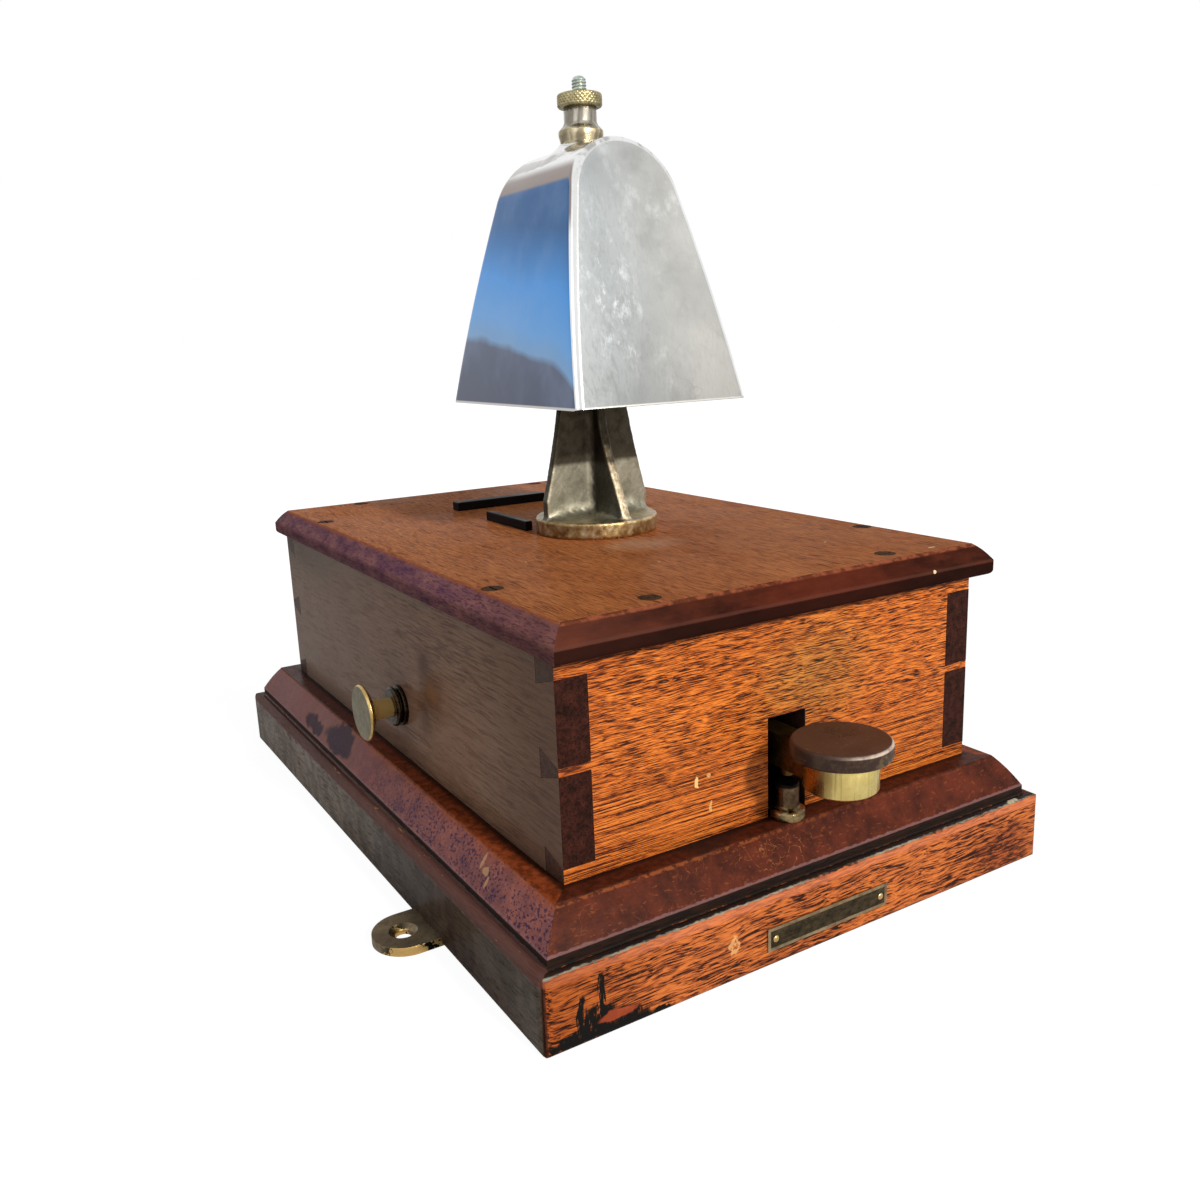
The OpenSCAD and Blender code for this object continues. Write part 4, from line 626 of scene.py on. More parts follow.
def bell_faces(g, col, r):
    """Front and back of the gong are rubbed to a satin grey, with a painted reflection darker and cooler to
    the left and low down; the flanks carry a painted bluish reflection.
    """
    y, z = g.y, g.z
    out = g.size(g.nx)
    face = g.step(g.size(g.ny), 0.915, 0.955)
    cloud = g.noise(g.scaled(g.obj, (1, 1, 1), (1, 2, 5)), 24, 5, 0.62)
    blot = g.noise(g.scaled(g.obj, (1, 1, 0.6), (8, 2, 5)), 80, 6, 0.72)
    sat = g.ramp(cloud, [(0.32, SATIN["low"]), (0.68, SATIN["high"])])
    pale = g.step(blot, 0.53, 0.70, 0, 0.8)
    sat = g.mix(pale, sat, SATIN["pale"])
    # pale scuffs in the left middle, fine dark hairlines towards the rim
    scuff_zone = g.patch(60, 0.02, (-18, -65, 238), 22, 0.9, (1.2, 0.2, 0.6))
    scuff = g.step(g.grain((210, 210, 80), 7, 0.8, (0, 0.12, 0)), 0.50, 0.66)
    sat = g.mix(g.mul(scuff_zone, scuff, 0.75), sat, SATIN["scuff"])
    dull = g.step(g.noise(g.scaled(g.obj, (1, 1, 1), (3, 6, 2)), 46, 5, 0.66), 0.50, 0.66, 0, 0.30)
    sat = g.mix(dull, sat, SATIN["dull"])
    cells = g.cell_edges(g.scaled(g.warp(g.obj, 45, 0.02), (70, 70, 34)))
    hair = g.mul(g.fall(cells, 0.0, 0.014), g.specks(70, 2, 0.5, 0.48, 0.58))
    sat = g.mix(g.mul(hair, g.step(z, 0.205, 0.245, 0.26, 0.06)), sat, SATIN["dull"])
    brush = g.grain((900, 900, 45), 3, 0.6, (0, 0.06, 0))
    sat = g.mix(g.step(brush, 0.46, 0.66, 0, 0.16), sat, SATIN["dull"])
    # painted reflection: the satin faces darker and cooler towards the left and lower down
    sat = g.shade(sat, g.fall(g.x, -0.022, 0.036), (0.56, 0.60, 0.65))
    sat = g.shade(sat, g.fall(z, 0.198, 0.248), (0.80, 0.79, 0.78))
    # the flanks' painted reflection: slate low down behind a soft curved edge, blue above it, brown under the
    # crown
    soft = g.mul(g.chain("SUBTRACT", g.grain(24, 3, 0.5), 0.5), 0.010)
    fall = g.add(g.step(y, -0.085, -0.050, 0.014, 0.0), g.step(y, -0.060, 0.030, 0.010, 0.0))
    level = g.add(z, soft, fall)
    flank_reflection = g.ramp(g.step(level, 0.190, 0.300), GONG_FLANK_REFLECTION)
    haze = g.grain((34, 34, 26), 4, 0.6)
    flank_reflection = g.paint(flank_reflection, g.step(haze, 0.42, 0.72, 0, 0.14), (150, 172, 200))
    edge = g.step(out, 0.74, 0.86)
    brown = g.mul(edge, g.step(z, 0.262, 0.272))
    col = g.paint(col, brown, (120, 100, 92), 0.85)
    col = g.mix(g.mul(g.step(out, 0.925, 0.95), g.inv(face)), col, flank_reflection)
    # wrinkled reflections along the crown
    crown = g.mul(g.step(g.nz, 0.30, 0.55), g.inv(face))
    fold = g.noise(g.scaled(g.warp(g.obj, 60, 0.006), (150, 16, 90)), 1.0, 3, 0.6)
    col = g.paint(col, g.mul(crown, g.step(fold, 0.46, 0.58, 0, 0.65)), (142, 136, 130))
    col = g.mix(face, col, sat)
    lip = g.step(z, GONG_FOOT + 0.0007, GONG_FOOT + 0.0013, 0.8, 0)
    col = g.paint(col, lip, (206, 203, 198))
    r_face = g.add(g.step(cloud, 0.3, 0.7, 0.42, 0.52), g.step(brush, 0.45, 0.7, 0, 0.06))
    return col, g.blend(face, r, r_face)


SATIN = dict(low=rgb(172, 172, 169), high=rgb(188, 188, 185), pale=rgb(206, 206, 204),
             scuff=rgb(250, 250, 248), dull=rgb(142, 139, 136))
GONG_FLANK_REFLECTION = [(0.02, rgb(79, 84, 101)), (0.215, rgb(88, 95, 115)), (0.250, rgb(113, 150, 188)),
              (0.36, rgb(100, 152, 206)), (0.60, rgb(76, 142, 208)), (0.88, rgb(50, 92, 140))]


def cast_marks(g, col, r):
    """Grey-green skin, gold where the foot's rim is rubbed, painted shade in the corners and on the rib's
    left face, painted highlights on the rib's front and the foot's right, and the gong's painted shadow
    higher up.
    """
    x, z = g.x, g.z
    foot = g.fall(z, FOOT_TOP - 0.0006, FOOT_TOP + 0.0002)
    gold = g.ramp(g.grain(240, 4, 0.7), [(0.34, rgb(128, 98, 60)), (0.50, rgb(178, 148, 98)),
                                         (0.66, rgb(214, 200, 166))])
    col = g.mix(foot, col, gold)
    edge = g.node("ShaderNodeNewGeometry")["Pointiness"]
    rub = g.mul(g.step(edge, 0.515, 0.56), g.specks(400, 3, 0.6, 0.36, 0.52))
    col = g.paint(col, rub, (222, 198, 152), 0.85)
    # painted shade in the concave corners
    corner_shade = g.step(edge, 0.465, 0.495, 0.7, 0)
    col = g.paint(col, corner_shade, (52, 48, 40))
    # painted shade on the rib's left face and the web's left end, a painted highlight with rubbed specks on
    # the rib's front
    web = g.inv(foot)
    dull = g.mul(g.step(g.mul(g.nx, -1.0), 0.55, 0.85), web)
    col = g.paint(col, dull, (42, 40, 34), 0.86)
    ahead = g.mul(g.step(g.mul(g.ny, -1.0), 0.5, 0.8), g.mul(g.fall(g.y, -0.033, -0.027), web))
    worn = g.specks(420, 3, 0.6, 0.4, 0.6)
    col = g.mix(g.mul(ahead, 0.75), col, g.paint(rgb(168, 150, 122), worn, (226, 210, 180)))
    # painted shade on the foot's left and a painted highlight on its right
    col = g.paint(col, g.mul(foot, g.step(x, -0.027, -0.010, 0.6, 0)), (84, 62, 38))
    col = g.paint(col, g.mul(foot, g.step(x, 0.006, 0.020, 0, 0.4)), (206, 172, 118))
    # painted shadow of the gong on the upper pillar
    high = g.step(z, 0.1665, 0.1690, 0, 0.86)
    col = g.paint(col, high, (50, 41, 30))
    return col, g.add(r, g.mul(g.most(rub, g.mul(foot, 0.8)), -0.18))


def cap_wear_and_highlight(g, col):
    """Darker sides of the tapper's cap with worn specks, and a painted highlight on the rim where it faces
    the light.
    """
    side = g.fall(g.nz, 0.35, 0.8)
    col = g.paint(col, side, (38, 32, 31), 0.6)
    worn = g.mul(g.specks(300, 5, 0.7, 0.46, 0.60), g.step(g.x, -0.006, 0.010, 0.15, 0.9))
    col = g.paint(col, g.mul(side, worn), (112, 94, 66))
    # painted highlight on the rim, broken by bare spots, where it faces the light
    rim = g.band(g.nz, 0.16, 0.42, 0.86, 0.985)
    bare = g.specks(130, 4, 0.6, 0.36, 0.62, 0.35, 0.95)
    lit = g.step(g.add(g.mul(g.nx, 0.6), g.mul(g.ny, -0.8)), -0.1, 0.7)
    return g.paint(col, g.mul(rim, bare, lit), (206, 186, 172))


def knob_marks(g, col, r):
    """Greenish skin on the knob's face, a rubbed rim, and bright gold at the neck."""
    face = g.fall(g.nx, -0.9, -0.75)
    skin = g.ramp(g.grain(160, 5, 0.7), [(0.34, rgb(104, 94, 72)), (0.66, rgb(140, 130, 104))])
    neck = g.mul(g.step(g.x, KNOB_BACK, KNOB_BACK + 0.001), g.inv(face))
    col = g.paint(col, neck, (240, 204, 130))
    col = g.mix(face, col, skin)
    g.set(Metallic=g.blend(neck, 1.0, 0.45))
    return col, g.blend(neck, g.add(r, g.mul(face, 0.10)), 0.42)


def sleeve_marks(g, col, r):
    """A golden lower flange, painted reflection bands, and a browner painted shade on the side away from the
    light.
    """
    low = g.fall(g.z, SLEEVE_FOOT + 0.0050, SLEEVE_FOOT + 0.0065)
    gold = g.ramp(g.grain(240, 4, 0.65), [(0.36, rgb(188, 172, 136)), (0.66, rgb(226, 212, 176))])
    col = g.mix(g.mul(low, 0.9), col, gold)
    # painted reflection: dark bands set by the way the surface faces
    reflection_bands = g.noise(g.scaled(g.nrm, (2.4, 2.4, 0.5)), 1.0, 2, 0.5)
    col = g.paint(col, g.step(reflection_bands, 0.44, 0.56, 0, 0.55), (74, 66, 56))
    # painted shade on the side away from the light
    brown = g.step(g.nx, 0.35, 0.75, 0, 0.5)
    return g.paint(col, brown, (122, 84, 56)), g.add(r, g.mul(low, 0.14))


def ferrule_marks(g, col, r):
    """Orange-brown on the side away from the light, with a faint vertical grain."""
    shade = g.step(g.nx, -0.97, -0.72, 0.75, 0)
    line = g.grain((900, 900, 30), 3, 0.6)
    col = g.paint(col, g.step(line, 0.5, 0.66, 0, 0.35), (112, 88, 46))
    return g.paint(col, shade, (96, 54, 24)), r


def plate_marks(g, col, r):
    """Bare dark field inside a lighter worn border."""
    (x0, _, z0), (x1, _, z1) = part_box("plinth_plate")
    edge, soft = 0.0011, 0.0002
    bands = [g.band(v, a + edge, a + edge + soft, b - edge - soft, b - edge)
             for v, a, b in ((g.x, x0, x1), (g.z, z0, z1))]
    inside = g.mul(*bands)
    field = g.noise(g.scaled(g.obj, (1, 1, 2)), 320, 5, 0.7)
    field = g.ramp(field, [(0.36, rgb(46, 40, 31)), (0.68, rgb(92, 82, 60))])
    return g.mix(inside, col, field), g.add(r, g.mul(inside, 0.1))


def lug_marks(g, col, r):
    """Black front edge with bright chips."""
    front = g.step(g.mul(g.ny, -1.0), 0.3, 0.7)
    chip = g.specks(150, 4, 0.65, 0.45, 0.48)
    return g.mix(front, col, g.paint(rgb(30, 28, 24), chip, (206, 172, 110))), r


def stop_marks(g, col, r):
    """Bright rubbed flange, dark body and a black pad on top."""
    z = g.z
    flange = g.fall(z, STOP_FLANGE, STOP_FLANGE + 0.0008)
    worn = g.ramp(g.grain(260, 3, 0.6), [(0.36, rgb(98, 80, 54)), (0.62, rgb(158, 138, 100))])
    col = g.mix(flange, col, worn)
    pad = g.step(z, STOP_TOP - 0.0016, STOP_TOP - 0.0010)
    col = g.paint(col, pad, (26, 23, 21))
    return col, g.add(r, g.add(g.mul(flange, -0.08), g.mul(pad, 0.25)))


def silk():
    """Silk-covered wire: fine turns round the coil."""
    g = Mat("green_silk")
    named = {"Vector": g.obj, "Scale": 330, "Distortion": 0.6}
    turns = g.node("ShaderNodeTexWave", named, wave_type="BANDS", bands_direction="Y")["Fac"]
    col = g.ramp(turns, [(0.1, (0.010, 0.022, 0.010)), (0.8, (0.060, 0.115, 0.050))])
    col = g.mix(g.specks(120, 4, 0.5, 0.4, 0.7, 0, 0.5), col, (0.035, 0.06, 0.03))
    g.set(Base_Color=col, Roughness=0.7, Sheen_Weight=0.4)
    g.bump(turns, 0.6, 0.0003)
    return g


def build_materials():
    """Every material by its short name."""
    tail = dict(end_a=rgb(34, 20, 17), end_b=rgb(70, 37, 29))
    made = {
        "front": wood("mahogany_front", "x", pale=rgb(232, 140, 56), light=rgb(212, 112, 42),
            dark=rgb(126, 58, 25), pore=rgb(38, 20, 12), end_a=rgb(60, 40, 32), end_b=rgb(86, 58, 46),
            seed=1.3, rough=0.42, spec=0.12, length=9.5, width=0.38, sway=0.0024, patchy=0.009,
            density=0.002, vary=front_vary, marks=front_marks, long_below=(66, 82), pores=0.4),
        "back": wood("mahogany_back", "x", pale=rgb(176, 104, 58), light=rgb(150, 84, 46),
            dark=rgb(104, 54, 32), pore=rgb(42, 24, 17), end_a=rgb(60, 40, 32), end_b=rgb(84, 56, 44),
            seed=4.1, rough=0.42, spec=0.12, length=8.5, width=0.60, sway=0.0032),
        # the left board's grey-brown palette stands for mahogany under a painted sheen of cool sky light
        "side": wood("mahogany_side", "y", pale=rgb(138, 107, 87), light=rgb(129, 99, 79),
            dark=rgb(119, 89, 71), pore=rgb(98, 72, 58), seed=2.2, rough=0.20, spec=0.03, length=20,
            width=0.7, pores=0.3, sway=0.0025, marks=side_marks, bump=0.08, **tail),
        "side_r": wood("mahogany_side_right", "y", pale=rgb(150, 92, 58), light=rgb(122, 72, 46),
            dark=rgb(84, 48, 33), pore=rgb(42, 27, 21), seed=6.6, rough=0.24, spec=0.03, length=22,
            width=0.9, pores=0.4, sway=0.0025, bump=0.1, **tail),
        "lid": wood("mahogany_lid", "y", pale=rgb(192, 122, 70), light=rgb(174, 106, 60),
            dark=rgb(150, 89, 51), pore=rgb(100, 60, 39), end_a=rgb(46, 24, 21), end_b=rgb(86, 42, 32),
            seed=3.4, rough=0.24, spec=0.001, length=12, width=0.50, density=-0.022, pores=0.36, sway=0.003,
            marks=lid_marks, bump=0.10),
        "floor": wood("pine_floor", "y", pale=(0.46, 0.30, 0.15), light=(0.42, 0.27, 0.13),
            dark=(0.30, 0.18, 0.085), pore=(0.20, 0.11, 0.05), end_a=(0.24, 0.15, 0.07),
            end_b=(0.34, 0.22, 0.11), seed=8.0, rough=0.6, pores=0.2, length=60, width=3),
        "black": plastic("black_lacquer", rgb(22, 19, 20), rgb(36, 31, 31), (0.3, 0.45), spec=0.02),
        "ebonite": plastic("ebonite", (0.010, 0.009, 0.009), (0.022, 0.018, 0.016), (0.22, 0.4)),
        "cap": plastic("ebonite_cap", rgb(64, 44, 35), rgb(84, 58, 46), (0.26, 0.40), scale=90,
            worn=cap_wear_and_highlight, spec=0.12),
        "plug": plastic("dark_plug", rgb(44, 28, 20), rgb(88, 60, 42), (0.5, 0.7), scale=520, spec=0.01),
        "fibre": plastic("red_fibre", (0.20, 0.045, 0.025), (0.30, 0.08, 0.04), (0.5, 0.7)),
        "gong": metal("nickel_gong", rgb(226, 227, 226), rgb(240, 241, 240), rgb(196, 195, 190), 0.25,
            (0.09, 0.15), 30, 0.3, extra=bell_faces),
        "sleeve": metal("nickel_sleeve", rgb(162, 156, 142), rgb(186, 180, 168), rgb(124, 112, 94), 0.35,
            (0.22, 0.30), 90, 0.2, extra=sleeve_marks),
        "cast": metal("cast_bronze", rgb(144, 140, 122), rgb(176, 171, 153), rgb(106, 101, 85), 0.6,
            (0.45, 0.62), 90, 0.2, cast=0.9, extra=cast_marks),
        "aged": metal("aged_brass", (0.40, 0.275, 0.105), (0.56, 0.40, 0.165), (0.19, 0.125, 0.055), 0.65,
            (0.24, 0.44), 150, 0.5, lathe=(50, 50, 1500)),
        "lever": metal("lever_brass", rgb(84, 62, 34), rgb(134, 104, 58), rgb(50, 36, 24), 0.8, (0.34, 0.5),
            120, 0.5),
        "stop": metal("stop_brass", rgb(74, 58, 44), rgb(112, 90, 66), rgb(44, 36, 30), 0.6, (0.26, 0.42),
            260, 0.4, lathe=(80, 80, 1800), extra=stop_marks),
        "bright": metal("bright_brass", rgb(216, 196, 122), rgb(236, 218, 146), rgb(182, 154, 92), 0.3,
            (0.24, 0.34), 90, 0.5, lathe=(900, 900, 60), extra=ferrule_marks),
        "knob": metal("knob_brass", rgb(176, 146, 88), rgb(214, 184, 124), rgb(138, 112, 66), 0.45,
            (0.22, 0.38), 190, 0.5, lathe=(60, 900, 900), seed=0.4, extra=knob_marks),
        "blackbrass": metal("blackened_brass", rgb(34, 30, 28), rgb(58, 48, 38), rgb(120, 86, 44), 0.25,
            (0.25, 0.45), 220, 0.5),
        "lug": metal("lug_brass", rgb(112, 98, 78), rgb(150, 134, 106), rgb(84, 70, 54), 0.6, (0.36, 0.55),
            110, 0.6, extra=lug_marks),
        "plate": metal("plate_bronze", rgb(150, 134, 104), rgb(182, 168, 136), rgb(90, 76, 54), 0.6,
            (0.28, 0.45), 160, 0.6, extra=plate_marks),
        "lacq": metal("lacquered_brass", (0.62, 0.45, 0.17), (0.74, 0.56, 0.24), (0.40, 0.27, 0.10), 0.3,
            (0.2, 0.34), 60, 0.4),
        "screw": metal("dark_screw", (0.055, 0.040, 0.026), (0.11, 0.085, 0.055), (0.03, 0.022, 0.017), 0.8,
            (0.4, 0.6), 400, 0.6),
        "steel": metal("plain_steel", (0.30, 0.30, 0.295), (0.46, 0.46, 0.45), (0.20, 0.165, 0.13), 0.5,
            (0.22, 0.4), 160, 0.5),
        "iron": metal("soft_iron", (0.16, 0.155, 0.15), (0.26, 0.25, 0.245), (0.10, 0.065, 0.045), 0.5,
            (0.38, 0.55), 90, 0.5, cast=0.2),
        "spring": metal("spring_bronze", (0.46, 0.28, 0.14), (0.60, 0.40, 0.22), (0.25, 0.15, 0.08), 0.4,
            (0.22, 0.38), 200, 0.3),
        "nut": metal("knurled_brass", rgb(146, 134, 98), rgb(186, 174, 132), rgb(88, 77, 54), 0.5,
            (0.26, 0.42), 260, 0.2),
        "stud": metal("stud_steel", rgb(164, 176, 170), rgb(204, 212, 206), rgb(120, 142, 132), 0.45,
            (0.3, 0.48), 300, 0.2),
        "silk": silk(),
    }
    face = {
        "front": dict(pale=rgb(214, 124, 60), light=rgb(192, 104, 50), dark=rgb(120, 60, 33)),
        "back": dict(pale=rgb(166, 98, 58), light=rgb(142, 80, 48), dark=rgb(96, 52, 34)),
        # the left face's grey palette is part of the painted reflection in its polish
        "left": dict(pale=rgb(147, 134, 122), light=rgb(140, 127, 115), dark=rgb(130, 117, 105)),
        "right": dict(pale=rgb(120, 82, 58), light=rgb(98, 64, 46), dark=rgb(72, 46, 35)),
    }
    for seed, (side, tones) in enumerate(face.items(), 10):
        lengthwise = side in FRONT_BACK
        polish = dict(rough=0.46, spec=0.08) if lengthwise else dict(rough=0.30, spec=0.03)
        pore = rgb(108, 94, 84) if side == "left" else rgb(42, 24, 18)
        made["plinth_" + side] = wood(
            "mahogany_plinth_" + side, "x" if lengthwise else "y", end_a=rgb(60, 32, 24),
            end_b=rgb(104, 58, 42), pore=pore, seed=seed, length=11, width=0.72, density=-0.004, pores=0.4,
            marks=plinth_marks(side), bump=0.2, **polish, **tones)
    return made


# Each material with the CAD nodes that it covers
FINISHES = {
    "plinth_front": "front_rail",
    "plinth_back": "back_rail",
    "plinth_left": "left_rail",
    "plinth_right": "right_rail",
    "floor": "floor_board",
    "screw": "floor_screws lug_screws pillar_screws",
    "front": "case_front",
    "back": "case_back",
    "side": "case_left",
    "side_r": "case_right",
    "lid": "lid",
    "plug": "lid_screws",
    "plate": "plinth_plate",
    "lacq": "plate_pins magnet_frame backstop_screw key_bracket key_spring_post rear_contact_post "
            "plunger_nut plunger_collar plunger_bracket terminal_posts",
    "lug": "left_lug right_lug",
    "black": "rear_guide_strip side_guide_strips",
    "cast": "bell_pillar",
    "steel": "bell_stud frame_screws core_screws armature_pin hammer_rod cap_screw key_pin",
    "fibre": "seat_washer",
    "gong": "gong",
    "sleeve": "clamp_sleeve",
    "aged": "knurled_nut hammer_ball",
    "iron": "magnet_yoke magnet_cores armature",
    "ebonite": "coil_bobbins contact_block terminal_block wire_bush",
    "silk": "coil_windings",
    "spring": "armature_spring key_spring plunger_spring contact_blades",
    "lever": "tapper_lever",
    "bright": "tapper_ferrule",
    "cap": "tapper_cap",
    "stop": "stop_pillar",
    "knob": "plunger",
    "blackbrass": "plunger_bush",
}


# Nodes whose arrises are rounded, with the width in mm, the steps and the least angle in degrees
ARRISES = (
    ("front_rail back_rail left_rail right_rail", 0.5, 3, 24),
    ("case_front case_back case_left case_right", 0.28, 2, 30),
    ("lid", 0.8, 3, 25),
    ("rear_guide_strip side_guide_strips tapper_lever left_lug right_lug", 0.45, 3, 40),
    ("plinth_plate key_bracket magnet_frame armature magnet_yoke plunger_bracket terminal_block "
     "contact_block floor_board backstop_screw", 0.25, 2, 40),
    ("tapper_ferrule tapper_cap stop_pillar plunger plunger_bush clamp_sleeve lid_screws plate_pins "
     "terminal_posts key_spring_post rear_contact_post plunger_nut wire_bush", 0.2, 2, 38),
)


def give(obj, key):
    """Puts one material on an object."""
    obj.data.materials.clear()
    obj.data.materials.append(MATS[key].m)


# Mesh helpers
def mesh_obj(name, verts, faces, key, replaces, angle=None):
    """A smooth mesh on the base that stands for a CAD node, sharp where it bends more than angle."""
    me = bpy.data.meshes.new(name)
    me.from_pydata([tuple(v) for v in verts], [], faces)
    me.validate()
    me.update()
    for poly in me.polygons:
        poly.use_smooth = True
    o = bpy.data.objects.new(name, me)
    bpy.context.scene.collection.objects.link(o)
    if angle:
        me.set_sharp_from_angle(angle=math.radians(angle))
    give(o, key)
    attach(o, "base")
    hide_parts(replaces)


def soften(node, width, segments, angle):
    """Welds a CAD node's facets and rounds its arrises a little, as hand work does."""
    o = NODES[node]
    w = o.modifiers.new("weld", "WELD")
    w.merge_threshold = 1e-6
    d = o.modifiers.new("flat", "DECIMATE")
    d.decimate_type = "DISSOLVE"
    d.angle_limit = math.radians(0.6)
    b = o.modifiers.new("arris", "BEVEL")
    b.width = width * mm
    b.segments = segments
    b.limit_method = "ANGLE"
    b.angle_limit = math.radians(angle)
    b.use_clamp_overlap = True
    b.harden_normals = True
    b.miter_outer = "MITER_ARC"


def box_mm(node):
    """The low and the high corner of a CAD node in mm."""
    return [[v / mm for v in corner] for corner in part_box(node)]


def turned(axis, r, a, z):
    """A point in metres at radius r, angle a and height z above the axis's foot in mm."""
    return ((axis[0] + r * math.cos(a)) * mm, (axis[1] + r * math.sin(a)) * mm, (axis[2] + z) * mm)


def ring_quads(rows, segs):
    """The quads between rings of segs points each, rows of them on top of the first."""
    return [(j * segs + i, j * segs + (i + 1) % segs, (j + 1) * segs + (i + 1) % segs, (j + 1) * segs + i)
            for j in range(rows) for i in range(segs)]


def unit(a, b):
    length = math.hypot(a, b)
    return a / length, b / length


# The gong
CROWN_R, FACE_LEAN, GONG_WALL, GONG_EDGE = 26.5, 0.28, 3.5, 3.4
BOSS_RISE, SEAT_DROP = 1.0, 8.2
BOSS_R = (0.0, 9.2, 10.2, 11.6, 13.8, 16.5, 19.5, 24.0, 30.0)
BOSS_H = (0.0, 0.0, -1.1, -2.4, -4.0, -6.4, -9.8, -22.0, -80.0)


def gong():
    """The cow-shaped shell: arched leg-to-leg outline, leaning flat faces, rounded edges, low boss."""
    (x0, y0, z0), (x1, y1, z1) = box_mm("gong")
    cx, cy = (x0 + x1) / 2, (y0 + y1) / 2
    wide, deep, tall = x1 - x0, y1 - y0, z1 - z0 - BOSS_RISE
    flare = math.atan((wide / 2 - CROWN_R) / (tall - CROWN_R))
    low = tall - CROWN_R + CROWN_R * math.sin(flare)
    slant = math.sqrt(1 + FACE_LEAN * FACE_LEAN)
    verts, faces = [], []

    def put(x, y, z):
        verts.append(((x + cx) * mm, (y + cy) * mm, (z + z0) * mm))
        return len(verts) - 1

    def half_width(h):
        t = h / low
        return wide / 2 + (CROWN_R * math.cos(flare) - wide / 2) * t + 4.8 * t * (1 - t)

    def half_depth(h, inset):
        return deep / 2 - FACE_LEAN * h - inset * slant

    def raised(x, y, z):
        """Height of the crown with its flared boss, which meets it in a fillet."""
        if z < tall - 20:
            return max(0.0, z)
        top = tall + BOSS_RISE + float(np.interp(math.hypot(x, y), BOSS_R, BOSS_H))
        fillet = 1.3
        m = min(max(0.5 + 0.5 * (top - z) / fillet, 0), 1)
        return max(0.0, min(z + (top - z) * m + fillet * m * (1 - m) * 0.5, tall + BOSS_RISE))

    # the arch as points with outward normals, from the right foot over the crown to the left foot
    n_leg, n_arc = 34, 128
    legs = [(half_width(low * i / n_leg), low * i / n_leg) for i in range(n_leg)]
    turns = [flare + (math.pi - 2 * flare) * i / n_arc for i in range(n_arc + 1)]
    arch = legs + [(CROWN_R * math.cos(a), tall - CROWN_R + CROWN_R * math.sin(a)) for a in turns]
    arch += [(-x, z) for x, z in reversed(legs)]
    ends = zip(arch[:1] + arch[:-1], arch[1:] + arch[-1:])
    normals = [unit(bz - az, ax - bx) for (ax, az), (bx, bz) in ends]
    for _ in range(4):
        normals[1:-1] = [tuple((a + 2 * b + c) / 4 for a, b, c in zip(*three))
                         for three in zip(normals, normals[1:], normals[2:])]
    normals = [unit(*v) for v in normals]
    # outside, each row runs over the front edge, the arch and the rear edge
    up = Vector((0, -1 / slant, FACE_LEAN / slant))
    n_round, n_mid, cuts = 6, 130, 12
    bends = [i / n_round for i in range(1, n_round + 1)]
    middle = [-1 + 2 * i / n_mid for i in range(n_mid + 1)]
    outside, within = [], []
    for (px, pz), (nx, nz) in zip(arch, normals):
        x, z = px - GONG_EDGE * nx, pz - GONG_EDGE * nz
        y = half_depth(z, GONG_EDGE)
        outward = Vector((nx, 0, nz))
        a = outward.angle(up)
        bend = [(math.sin((1 - t) * a) * outward + math.sin(t * a) * up) / math.sin(a) for t in bends]
        row = [(x + GONG_EDGE * v.x, -y + GONG_EDGE * v.y, z + GONG_EDGE * v.z) for v in reversed(bend)]
        row += [(px, (0.4 * t + 0.6 * t ** 3) * y, pz) for t in middle]
        row += [(x + GONG_EDGE * v.x, y - GONG_EDGE * v.y, z + GONG_EDGE * v.z) for v in bend]
        outside.append([put(x, y, raised(x, y, z)) for x, y, z in row])
    # inside, a plainer offset with a flat seat
    for (px, pz), (nx, nz) in zip(arch, normals):
        z = min(max(0.0, pz - GONG_WALL * nz), tall - SEAT_DROP) if pz > 0.001 else 0.0
        y = half_depth(z, GONG_WALL)
        within.append([put(px - GONG_WALL * nx, -y + 2 * y * k / cuts, z) for k in range(cuts + 1)])
    for rows, way in ((outside, 1), (within, -1)):
        for one, two in zip(rows, rows[1:]):
            for j in range(len(one) - 1):
                q = (one[j], one[j + 1], two[j + 1], two[j])
                faces.append(q if way > 0 else (q[0], *q[:0:-1]))
        faces.append([row[0] for row in rows][::way])
        faces.append([row[-1] for row in rows][::-way])
    # rim: the outer and the inner chain joined by nearest position along y
    last = len(outside[0]) - 1
    for e in (0, -1):
        outer, inner, j = outside[e], within[e], 0
        for i in range(last):
            q = (outer[i], outer[i + 1], inner[j])
            if j < cuts and (i + 1) / last * cuts > j + 1 - 1e-9:
                q = (outer[i], outer[i + 1], inner[j + 1], inner[j])
                j += 1
            faces.append(q if e else q[::-1])
    for j in (0, -1):
        q = (outside[0][j], within[0][j], within[-1][j], outside[-1][j])
        faces.append(q[::-1] if j else q)
    mesh_obj("gong_shell", verts, faces, "gong", "gong", 38)


